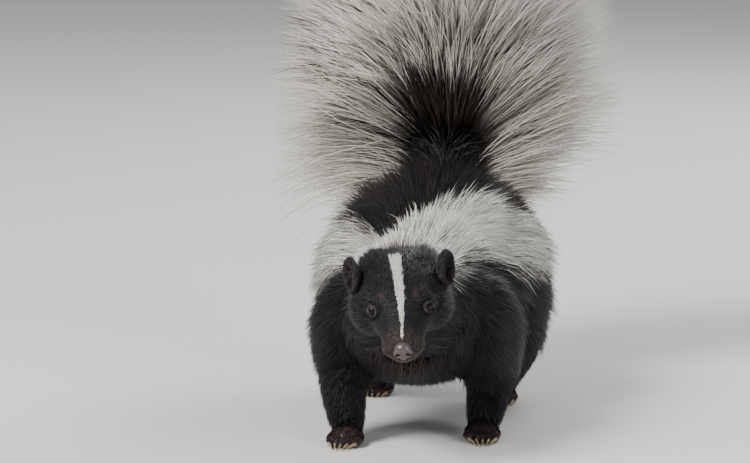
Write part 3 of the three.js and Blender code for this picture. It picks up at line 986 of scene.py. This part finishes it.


# The tip shade of each black hair is painted sheen: grey on the coat, bluish on the face and
# brownish on the tail.
coat_hair = hair_material(
    "coat_hair",
    dark=(0.005, 0.0045, 0.0055), dark_tip=(0.02, 0.018, 0.02), warm=(0.07, 0.05, 0.036),
    pale=(0.9, 0.885, 0.85), pale_root=(0.74, 0.71, 0.67),
)
tail_hair = hair_material(
    "tail_hair", softness=0.16,
    dark=(0.006, 0.005, 0.005), dark_tip=(0.03, 0.023, 0.019), warm=(0.07, 0.05, 0.036),
    pale=(0.83, 0.80, 0.73), pale_root=(0.54, 0.49, 0.43),
)
face_hair = hair_material(
    "face_hair",
    dark=(0.005, 0.005, 0.007), dark_tip=(0.017, 0.018, 0.024), warm=(0.05, 0.036, 0.033),
    pale=(0.9, 0.88, 0.84), pale_root=(0.78, 0.75, 0.71),
)
print("hair materials share a group of", len(HAIR.nodes), "nodes")

# %% [markdown]
# ## Growing a coat
# Blender's hair curves would be drawn as lines, and this model has to be solid, so a tuft is
# a thin three-sided spindle that bends along its lie. Its root is drawn on the skin with a
# seeded random generator, it is walked over the skin along the lie of the coat while it rises
# to its own height, and its tip is drawn towards the tip of a leading tuft nearby, which
# makes soft clumps. All tufts of a piece are one mesh.

# %% The ground that hair grows on
def unwrap(piece):
    only(piece)
    bpy.ops.object.mode_set(mode="EDIT")
    bpy.ops.mesh.select_all(action="SELECT")
    bpy.ops.uv.smart_project(angle_limit=math.radians(66), island_margin=0.002)
    bpy.ops.object.mode_set(mode="OBJECT")
    piece.data.uv_layers[0].name = "OFBake"


def unit(vectors):
    return vectors / np.maximum(np.linalg.norm(vectors, axis=-1, keepdims=True), 1e-12)


class Ground:
    """Triangles, normals and unwrap of what hair grows on, with a tree to find the nearest.
    Several pieces share the square of the unwrap in equal cells."""

    def __init__(self, *pieces):
        cells = math.ceil(math.sqrt(len(pieces)))
        corners, points, normals, uvs = [], [], [], []
        for k, piece in enumerate(pieces):
            unwrap(piece)
            mesh = piece.data
            mesh.calc_loop_triangles()
            first = sum(len(earlier) for earlier in points)
            corners.append(read(mesh.loop_triangles, "vertices", 3, int) + first)
            points.append(coordinates(piece))
            normals.append(read(mesh.vertices, "normal", 3))
            uv = read(mesh.uv_layers["OFBake"].data, "uv", 2)
            loops = read(mesh.loop_triangles, "loops", 3, int)
            uvs.append((uv[loops] + np.array([k % cells, k // cells])) / cells)
        corners, points = np.concatenate(corners), np.concatenate(points)
        self.points = points[corners]
        self.normals = np.concatenate(normals)[corners]
        self.uvs = np.concatenate(uvs)
        a, b, c = self.points.transpose(1, 0, 2)
        self.areas = np.linalg.norm(np.cross(b - a, c - a), axis=1) / 2
        self.middles = self.points.mean(1)
        self.tree = BVHTree.FromPolygons(points.tolist(), corners.tolist())

    def draw(self, weight, count, rng):
        """count roots, more where weight is high: points, normals and unwrap places."""
        chance = self.areas * np.clip(weight(self.middles), 0, None)
        picked = rng.choice(len(chance), count, p=chance / chance.sum())
        u, v = rng.random(count), rng.random(count)
        flip = u + v > 1
        u, v = np.where(flip, 1 - u, u), np.where(flip, 1 - v, v)
        shares = np.stack([1 - u - v, u, v], 1)[:, :, None]
        points, normals, uvs = (
            (values[picked] * shares).sum(1) for values in (self.points, self.normals, self.uvs)
        )
        return points, unit(normals), uvs

    def nearest(self, points):
        found = [self.tree.find_nearest(p) for p in points.tolist()]
        return np.array([f[0] for f in found]), np.array([f[1] for f in found])


ground = Ground(skin)
print("skin area", round(ground.areas.sum() * 1e4, 1), "square centimetres")

# %% Walking hair over the skin
ROOT_DEPTH = 0.0012
LEAST_HEIGHT = 0.0004


def along_skin(flow, normals):
    return unit(flow - (flow * normals).sum(1, keepdims=True) * normals)


def spin(vectors, axes, angles):
    """Turns each vector round its own axis."""
    c, s = np.cos(angles)[:, None], np.sin(angles)[:, None]
    return vectors * c + np.cross(axes, vectors) * s


def walk(soil, roots, normals, flow, lengths, rise, steps, rng, stray, droop):
    """Points of hairs that follow flow over the skin and rise to rise times their length."""
    turn = rng.normal(0, stray, len(roots))
    base, up = roots.copy(), normals.copy()
    line = [roots - normals * ROOT_DEPTH]
    rise = np.minimum(rise * rng.uniform(0.7, 1.3, len(roots)), 0.95)
    heights = rise * lengths
    reach = np.sqrt(1 - rise**2)
    for step in range(1, steps + 1):
        s = step / steps
        way = spin(along_skin(flow(base), up), up, turn * (0.4 + 0.6 * s))
        base = base + way * (lengths * reach / steps)[:, None]
        found, facing = soil.nearest(base)
        bend = np.linalg.norm(found - base, axis=1) / (lengths / steps)
        bend = np.clip(bend, 0, 1)[:, None]
        base = found
        up = unit(facing * (1 - 0.5 * bend) + up * (0.3 + 0.5 * bend))
        height = LEAST_HEIGHT + heights * (0.45 * np.sin(0.5 * np.pi * s) + 0.55 * s)
        point = base + up * height[:, None]
        point[:, 2] -= droop * lengths * s**2
        line.append(point)
    return np.stack(line, 1)


def clump(lines, share, rng, pull):
    """Draws the tips of hairs towards leading hairs near them."""
    count = len(lines)
    leaders = rng.choice(count, max(1, int(count * share)), replace=False)
    tree = KDTree(len(leaders))
    for k, leader in enumerate(leaders):
        tree.insert(lines[leader, 0], k)
    tree.balance()
    mine = np.array([leaders[tree.find(p)[1]] for p in lines[:, 0].tolist()])
    s = np.linspace(0, 1, lines.shape[1])[None, :, None]
    strength = pull * rng.uniform(0.3, 1.1, count)[:, None, None] * s**1.5
    offset = lines[:, :1] - lines[mine][:, :1]
    away = np.linalg.norm(offset, axis=2, keepdims=True) > 0.02
    strength = np.where(away, 0, strength)
    return lines * (1 - strength) + (lines[mine] + offset * 0.15) * strength


# %% Solid tufts
FLOOR_GAP = 0.0006
PATCH = 0.003  # how much of the unwrap one tuft takes
CORNERS = ((-0.5, 0.0), (0.5, 0.0), (0.0, 0.5))


def tuft_points(lines, widths):
    """Corners of spindles along lines (tufts, points, 3), and how far along each ring lies."""
    lines = lines.copy()
    lines[:, :, 2] = np.maximum(lines[:, :, 2], FLOOR_GAP)
    count, points = lines.shape[:2]
    s = np.linspace(0, 1, points)
    if points == 3:
        s[1] = 0.4
        lines[:, 1] = lines[:, 0] * 0.2 + lines[:, 1] * 0.8
    forward = unit(np.gradient(lines, axis=1))
    rng = np.random.default_rng(count)
    out = unit(np.cross(np.cross(forward[:, 0], lines[:, -1] - lines[:, 0]), forward[:, 0]))
    out = unit(out + rng.normal(0, 0.35, out.shape))
    side = unit(np.cross(forward, out[:, None]))
    face = np.cross(side, forward)
    profile = np.interp(s[1:-1], [0, 0.3, 0.7, 1], [0.8, 1, 0.9, 0.4])
    size = widths[:, None, None] * profile[None, :, None]
    corners = np.empty((count, (points - 2) * 3 + 2, 3))
    corners[:, 0], corners[:, -1] = lines[:, 0], lines[:, -1]
    for k, (across, high) in enumerate(CORNERS):
        offset = side[:, 1:-1] * across + face[:, 1:-1] * high
        corners[:, 1 + k : -1 : 3] = lines[:, 1:-1] + offset * size
    return corners, s[1:-1]


def tuft_faces(rings):
    """The triangles of one spindle: a fan at its root, its walls, and a fan at its tip."""
    faces = []
    for k in range(3):
        a, b = 1 + k, 1 + (k + 1) % 3
        faces.append((0, b, a))
        for low in range(0, (rings - 1) * 3, 3):
            faces += [(a + low, b + low, b + low + 3), (a + low, b + low + 3, a + low + 3)]
        faces.append((a + (rings - 1) * 3, b + (rings - 1) * 3, rings * 3 + 1))
    return np.array(faces)


def tufts(name, lines, widths, turn, tint, brown, uvs, material):
    """One mesh of three-sided spindles with the four numbers that colour them."""
    corners, middles = tuft_points(lines, widths)
    count, per = corners.shape[:2]
    faces = tuft_faces(len(middles))
    indices = (faces[None] + (np.arange(count) * per)[:, None, None]).reshape(-1)
    mesh = bpy.data.meshes.new(name)
    mesh.vertices.add(count * per)
    mesh.vertices.foreach_set("co", corners.reshape(-1))
    mesh.loops.add(len(indices))
    mesh.loops.foreach_set("vertex_index", indices)
    mesh.polygons.add(len(indices) // 3)
    mesh.polygons.foreach_set("loop_start", np.arange(0, len(indices), 3))
    mesh.update(calc_edges=True)
    mesh.polygons.foreach_set("use_smooth", np.ones(len(indices) // 3, bool))
    places = np.concatenate([[0.0], np.repeat(middles, 3), [1.0]])
    across = np.concatenate([[0.5], np.tile([0.0, 1.0, 0.5], len(middles)), [0.5]])
    patch = np.stack([across - 0.5, places - 0.5], 1) * PATCH
    uv = (uvs[:, None] + patch[None]).reshape(-1, 2)[indices]
    piece = bpy.data.objects.new(name, mesh)
    store(piece, "along", np.tile(places, count))
    for key, values in (("turn", turn), ("tint", tint), ("warm", brown)):
        store(piece, key, np.repeat(values, per))
    mesh.uv_layers.new(name="OFBake").data.foreach_set("uv", uv.reshape(-1))
    mesh.materials.append(material)
    bpy.context.scene.collection.objects.link(piece)
    print(f"{name}: {count} tufts, {len(indices) // 3} triangles")
    return piece


# %% [markdown]
# ## The lie of the coat
# Hair runs back from the nose over the head, back and down over the body, and down the legs.
# On the shoulders the long white hair of the cape falls outwards. Combing by hand would give
# the same, but a small function that gives a direction at any point of the skin is easier to
# change and reads as what it does.

# %% Directions
def ways(*columns):
    """Directions from x, y and z, of which some may be the same everywhere."""
    return np.stack(np.broadcast_arrays(*columns), 1)


def head_way(points):
    x, _, z = to_head(points).T
    outwards = 0.35 * np.sign(x) * np.minimum(1, np.abs(x) / 12)
    return ways(outwards, 1.0, -0.25 + 0.5 * smooth_step(2, 14, z)) @ np.array(HEAD_TURN).T


def body_way(points):
    x, y, _ = to_body(points).T
    side = np.clip(x / 60, -1, 1)
    fall = 0.25 + 0.75 * np.abs(side)
    front = smooth_step(-60, -120, y)
    return ways(side * (0.35 + 0.9 * front), 1 - 0.45 * front, -fall * (0.7 + 0.6 * front))


def cape_way(points):
    """The cape falls back and outwards, and straight up and back near the middle."""
    side = np.clip(to_body(points)[:, 0] / 55, -1, 1)
    return ways(0.75 * side, 1.0, -0.35 * np.abs(side))


def chest_way(points):
    return ways(to_body(points)[:, 0] / 90, 0.25, -1.0)


def leg_way(points):
    return ways(0.1 * np.sign(to_body(points)[:, 0]), 0.35, -1.0)


def ear_way(points):
    up = np.array(HEAD_TURN) @ np.array([0, 0.2, 1.0])
    return np.tile(up, (len(points), 1))


def paw_way(points):
    return np.tile([0.0, -1.0, -0.35], (len(points), 1))


# %% Where each part of the body lies
def body_parts(points):
    """Soft shares of head, tail, legs and trunk at points in metres."""
    x, y, z = to_body(points).T
    is_head = smooth_step(36, 30, to_head(points)[:, 1]) * smooth_step(-128, -136, y)
    rear_line = 128 + 0.9 * (z - 118)
    is_tail = smooth_step(-5, 5, y - rear_line) * smooth_step(112, 120, z)
    is_tail = np.maximum(is_tail, smooth_step(172, 178, z))
    low = smooth_step(62, 46, z) * smooth_step(22, 32, np.abs(x))
    is_leg = low * (1 - is_tail)
    rest = (1 - is_head) * (1 - is_tail) * (1 - is_leg)
    return {"head": is_head, "tail": is_tail, "legs": is_leg, "trunk": rest}


# %% Growing one piece
def at_roots(value, roots):
    return value(roots) if callable(value) else value


def grow(
    name, count, seed, weight, way, length, width, rise, steps=2, soil=ground,
    material=coat_hair, share=0.06, pull=0.45, stray=0.22, droop=0.0, dark=False, warmth=0.0,
):
    """Grows one coat piece. length and rise are numbers, or functions of the root. share and
    pull set the clumps, dark leaves out the white pattern, and warmth adds brown."""
    rng = np.random.default_rng(seed)
    roots, normals, uvs = soil.draw(weight, count, rng)
    lengths = at_roots(length, roots) * rng.uniform(0.72, 1.15, count)
    lift = at_roots(rise, roots)
    lines = walk(soil, roots, normals, way, lengths, lift, steps, rng, stray, droop)
    lines = clump(lines, share, rng, pull)
    white = pattern(roots) + rng.normal(0, 0.1, count) > 0.5
    if dark:
        white[:] = False
    turns = np.where(white, -1.0, 2.0)
    brown = np.clip(warm(roots) + rng.normal(0, 0.12, count) + warmth, 0, 1)
    widths = width * MM * rng.uniform(0.6, 1.35, count)
    piece = tufts(name, lines, widths, turns, rng.random(count), brown, uvs, material)
    hand_over(piece, "white_fur" if white.mean() > 0.5 else "black_fur")


# %% [markdown]
# ## Coat of the body
# The guard hair is two to three centimetres long on the neck and the shoulders and up to four
# and a half over the rump, and the cape's outer hair is twice as long as its middle. The coat
# is split into pieces of under 200,000 triangles: back, flanks, belly and chest, cape, legs.

# %% Back, flanks and belly
def black_share(p):
    return 1 - 0.75 * pattern(p)


def back_weight(p):
    _, y, z = to_body(p).T
    upper = smooth_step(80, 100, z)
    return body_parts(p)["trunk"] * upper * smooth_step(-170, -155, y) * black_share(p)


def flank_weight(p):
    x, y, z = to_body(p).T
    low = smooth_step(116, 92, z) * smooth_step(18, 40, np.abs(x))
    return body_parts(p)["trunk"] * low * smooth_step(-170, -150, y) * black_share(p)


def belly_weight(p):
    x, y, z = to_body(p).T
    under = smooth_step(56, 40, np.abs(x)) * smooth_step(112, 70, z)
    return body_parts(p)["trunk"] * under * (0.35 + 2.2 * smooth_step(-70, -110, y))


def body_length(p):
    _, y, z = to_body(p).T
    base = 24 + 8 * smooth_step(-140, -90, y) + 14 * smooth_step(-70, 50, y)
    return base * MM * (0.7 + 0.3 * smooth_step(50, 110, z))


def back_rise(p):
    x, y, _ = to_body(p).T
    return 0.3 + 0.32 * smooth_step(-20, 60, y) * smooth_step(66, 30, np.abs(x + 12))


grow("coat_back", 28000, 21, back_weight, body_way, body_length, 0.75, back_rise)
grow("coat_flanks", 28000, 22, flank_weight, body_way, body_length, 0.75, 0.22)
grow("coat_belly", 15000, 23, belly_weight, chest_way, 24 * MM, 0.7, 0.34)


# %% Cape and legs
def cape_weight(p):
    y = to_body(p)[:, 1]
    return body_parts(p)["trunk"] * (pattern(p) > 0.25) * (1 + smooth_step(-90, -130, y))


def nape_share(p):
    """The middle of the nape, where long hair stands up."""
    x, y, _ = to_body(p).T
    return smooth_step(-14, 2, x) * smooth_step(38, 20, x) * smooth_step(-150, -110, y)


def cape_length(p):
    x, y, _ = to_body(p).T
    nape = nape_share(p)
    out = smooth_step(20, 44, np.abs(x))
    return MM * (24 + 24 * np.maximum(out, nape) * smooth_step(-150, -100, y) + 6 * nape)


def cape_rise(p):
    x, y, _ = to_body(p).T
    crest = 0.42 * smooth_step(-84, -100, y)
    return 0.24 + np.maximum(0.45 * nape_share(p), crest) + 0.24 * smooth_step(26, 46, np.abs(x))


def leg_weight(p):
    return body_parts(p)["legs"]


grow(
    "coat_cape", 16000, 24, cape_weight, cape_way, cape_length, 0.66, cape_rise, steps=3,
    droop=0.12, stray=0.14, share=0.04, pull=0.35,
)
grow("coat_legs", 22000, 25, leg_weight, leg_way, 13 * MM, 0.62, 0.25, pull=0.3)

# %% [markdown]
# ## Coat of the head
# The face is covered by short velvet hair, two or three millimetres on the muzzle and about a
# centimetre on the crown and the cheeks, where it stands up. It keeps clear of the eyes and
# of the nose pad. The ears and the feet have their own short hair, without the white pattern.

# %% Head
NOSE_AT = np.array([0, -43.5, -13])


def head_weight(p):
    h = to_head(p)
    away = np.ones(len(h))
    for hand in SIDES:
        opening = np.array(EYE_LOCAL[hand]) + np.array(EYE_LOOK[hand]) * 2
        gap = np.linalg.norm(h - opening + np.array([0, 0.9, 0]), axis=1)
        away *= smooth_step(4.0, 4.7, gap)
    away *= smooth_step(6.0, 6.8, np.linalg.norm(h - NOSE_AT, axis=1))
    return body_parts(p)["head"] * away * (1 + 1.2 * smooth_step(0, -30, h[:, 1]))


def crown_share(p):
    x, y, z = to_head(p).T
    off_middle = smooth_step(6, 16, np.abs(x))
    top = off_middle * smooth_step(2, 18, y) * smooth_step(4, 14, z)
    return top * smooth_step(38, 30, np.abs(x))


def cheek_share(p):
    x, y, z = to_head(p).T
    low = smooth_step(10, 0, z) * smooth_step(8, 20, np.abs(x))
    return low * smooth_step(-22, 0, y) * np.where(x < 0, 1.0, 0.7)


def head_length(p):
    muzzle = 2.4 + 3.2 * smooth_step(-34, 10, to_head(p)[:, 1])
    return MM * (muzzle + 8 * cheek_share(p) + 5 * crown_share(p))


def head_rise(p):
    return 0.27 + 0.42 * crown_share(p) + 0.2 * cheek_share(p)


grow(
    "coat_head", 32000, 31, head_weight, head_way, head_length, 0.55, head_rise,
    material=face_hair, share=0.1, pull=0.35, stray=0.2,
)


# %% Ears and feet
def everywhere(p):
    return np.ones(len(p))


def above_sole(p):
    return smooth_step(0.003, 0.006, p[:, 2])


grow(
    "coat_ears", 6000, 32, everywhere, ear_way, 3.6 * MM, 0.42, 0.3,
    soil=Ground(*ears.values()), material=face_hair, dark=True, warmth=0.15, pull=0.3,
)
grow(
    "coat_paws", 8000, 33, above_sole, paw_way, 4.2 * MM, 0.55, 0.22,
    soil=Ground(*paws.values()), dark=True, pull=0.3,
)

# %% [markdown]
# ## Whiskers
# Fine dark bristles stand out from the pads beside the nose and over the eyes. Each is one
# long thin spindle bent slightly back and down, so the tufts' own helper makes them.

# %% Whiskers
BRISTLE_WIDTH = 0.12


def bristle(root, way, length, bend):
    s = np.linspace(0, 1, 5)[:, None]
    return root + way * length * s + np.array(bend) * s**2


rng = np.random.default_rng(51)
lines, uvs = [], []
for side in SIDES.values():
    for k in range(12):
        row, place = k % 3, k // 3
        root = np.array([side * (8.5 + 1.2 * place), -39 + 2.9 * place, -11.5 - 3.0 * row])
        way = np.array([side * 1.0, 0.1 + 0.14 * place, -0.12 - 0.2 * row])
        way = unit(way + rng.normal(0, 0.09, 3))
        length = rng.uniform(17, 30)
        bend = np.array([0, 5, -6]) * rng.uniform(0.5, 1.3)
        lines.append(bristle(root - way * 1.5, way, length, bend))
        uvs.append((0.02 + 0.02 * k, 0.3 + 0.3 * (side > 0)))
    for k in range(3):
        root = np.array([side * (12 + 3 * k), -12, 12.5])
        way = unit(np.array([side * 0.5, -0.3, 0.9]) + rng.normal(0, 0.15, 3))
        lines.append(bristle(root, way, rng.uniform(10, 16), (side * 4, 4, -2)))
        uvs.append((0.4 + 0.02 * k, 0.3 + 0.3 * (side > 0)))
count = len(lines)
whiskers = tufts(
    "whiskers", from_head(np.array(lines).reshape(-1, 3)).reshape(count, 5, 3),
    np.full(count, BRISTLE_WIDTH * MM), np.full(count, 2.0), rng.random(count),
    np.full(count, 0.6), np.array(uvs), face_hair,
)
hand_over(whiskers, "white_fur")

# %% [markdown]
# ## The tail
# The tail's flesh is thin, and its plume is hair alone, up to fifteen centimetres long. Each
# hair leaves the tail outwards, turns towards its tip and droops at its end, like water in a
# fountain. It is black near its root and white beyond, and the front of the plume stays
# black low down, which gives the tail its dark heart. It is too long to be walked over skin,
# so its line is worked out from the tail's own middle line.

# %% How the plume's hair lies
TAIL_HAIR = 154
TAIL_REACH = 136  # beyond this far to a side the hair is drawn in
tail_rows = smooth_line(TAIL, 4)


def plume_lines(b, start, tangents, lengths, droop, outward, rng):
    """Four points along each hair, in metres, from roots b in body mm."""
    side = unit(np.cross(start, tangents))
    sway = lengths * rng.normal(0, 0.1, len(b))
    wave = lengths * rng.normal(0, 0.016, len(b))
    line = []
    for s in np.linspace(0, 1, 4):
        shift = side * (sway * s * s + wave * math.sin(5 * s))[:, None]
        point = b - outward * 1.5 + start * (lengths * s)[:, None] + shift
        point[:, 2] -= droop * s**3
        beyond = np.maximum(np.abs(point[:, 0]) - TAIL_REACH, 0)
        point[:, 0] -= 0.65 * np.sign(point[:, 0]) * beyond
        line.append(point)
    return (np.stack(line, 1) + np.array(SHIFT)) * MM


def plume_turns(b, t, front, outward, rng):
    """Where along each hair black turns to white, at t along the tail."""
    low_down = smooth_step(0.3, 0.12, t)
    heart = smooth_step(0.5 - 0.25 * low_down, 0.85 - 0.25 * low_down, front)
    at_side = np.interp(t, [0.1, 0.28, 0.38, 0.5, 0.62, 1], [0.05, 0.08, 0.56, 0.66, 0.36, 0.22])
    at_side *= 1 + 0.25 * (outward[:, 0] < 0)
    at_side -= (at_side - 0.1) * smooth_step(0.1, 0.6, outward[:, 1])
    at_front = np.interp(t, [0.1, 0.2, 0.3, 0.42, 0.58, 1], [2.0, 0.95, 0.66, 0.5, 0.38, 0.24])
    streaks = 0.24 * wander(b, 11, 17) + rng.normal(0, 0.13, len(b))
    streaks = streaks * (0.4 + 0.6 * smooth_step(0.2, 0.4, t))
    turns = at_side + (at_front - at_side) * heart + streaks
    return np.where(t < 0.08, 2.0, turns)


# %% Plume
def plume(name, count, seed, low, high):
    """The plume's hair between two heights of the tail in body mm."""
    rng = np.random.default_rng(seed)

    def weight(p):
        z = to_body(p)[:, 2]
        band = smooth_step(low - 6, low + 6, z) * smooth_step(high + 6, high - 6, z)
        return body_parts(p)["tail"] * band * (0.7 + 1.5 * smooth_step(300, 365, z))

    roots, normals, uvs = ground.draw(weight, count, rng)
    b = to_body(roots)
    near = np.linalg.norm(b[:, None] - tail_rows[None, :, :3], axis=2).argmin(1)
    t = near / (len(tail_rows) - 1)
    tangents = unit(np.gradient(tail_rows[:, :3], axis=0))[near]
    outward = unit(normals - (normals * tangents).sum(1, keepdims=True) * tangents)
    front = np.clip(-outward[:, 1], 0, 1)
    climb = np.clip((t - 0.25) / 0.75, 0, 1)
    under = (1 - climb) ** 3 * np.clip(outward[:, 1], 0, 1)
    closeness = (
        0.4 + 0.2 * outward[:, 0] + 2.5 * smooth_step(0.88, 1, t) + 1.4 * climb**1.2
        + 0.8 * under + 1.2 * (1 - climb) ** 2 * front**2
    )
    closeness += rng.normal(0, 0.2, count)
    start = unit(outward + tangents * closeness[:, None] + rng.normal(0, 0.1, (count, 3)))
    reach = np.interp(t, [0, 0.08, 0.16, 0.26, 0.5, 0.8, 1], [0.25, 0.36, 0.62, 1.0, 1, 0.83, 0.56])
    reach *= 1 - 0.48 * front**2 * smooth_step(0.5, 0.2, t)
    lengths = TAIL_HAIR * reach * (1 - 0.4 * under) * rng.uniform(0.84, 1.03, count)
    droop = lengths * (0.17 - 0.04 * climb - 0.1 * under) * rng.uniform(0.4, 1.5, count)
    lines = plume_lines(b, start, tangents, lengths, droop, outward, rng)
    lines = clump(lines, 0.04, rng, 0.6)
    turns = plume_turns(b, t, front, outward, rng)
    widths = 0.72 * MM * rng.uniform(0.5, 1.5, count)
    brown = np.clip(rng.normal(0.25, 0.2, count), 0, 1)
    piece = tufts(name, lines, widths, turns, rng.random(count), brown, uvs, tail_hair)
    hand_over(piece, "white_fur")


for name, seed, low, high in (("low", 41, 118, 215), ("mid", 42, 205, 290), ("high", 43, 280, 380)):
    plume(f"plume_{name}", 14000, seed, low, high)

# %% [markdown]
# ## Floor and light
# A museum photographs its models on plain pale paper. One wide sheet is the floor, a large
# soft lamp above and to the left gives the shape, a weaker one fills from the right, and a
# third behind the animal lights the edges of the hair.

# %% Stage
only()
bpy.ops.mesh.primitive_plane_add(size=24, location=(0, 0, -0.0002))
floor = bpy.context.object
floor.name = floor.data.name = "floor"
paper, _, shader = principled("paper")
shader.inputs["Base Color"].default_value = (0.74, 0.73, 0.71, 1)
shader.inputs["Roughness"].default_value = 0.9
floor.data.materials.append(paper)

# %% Lamps
LIT_POINT = Vector((0, 0, 0.16))


def lamp(name, at, size, power, colour):
    data = bpy.data.lights.new(name, "AREA")
    data.size = size
    data.energy = power
    data.color = colour
    made = bpy.data.objects.new(name, data)
    made.location = at
    made.rotation_mode = "QUATERNION"
    made.rotation_quaternion = (LIT_POINT - Vector(at)).to_track_quat("-Z", "Y")
    bpy.context.scene.collection.objects.link(made)
    print(f"{name}: {power} W from {at}")


lamp("key", (-1.5, -1.6, 2.2), 1.2, 125, (1.0, 0.98, 0.95))
lamp("fill", (2.0, -1.6, 1.3), 0.9, 24, (0.94, 0.97, 1.0))
lamp("edge", (0.8, 1.9, 1.8), 1.2, 45, (1.0, 0.98, 0.95))
world = bpy.data.worlds.new("studio")
world.use_nodes = True
sky = world.node_tree.nodes["Background"].inputs
sky["Color"].default_value = (0.86, 0.89, 0.92, 1)
sky["Strength"].default_value = 0.42
bpy.context.scene.world = world

# %% [markdown]
# ## Finish
# The view layer is brought up to date.

# %% Finish
bpy.context.view_layer.update()
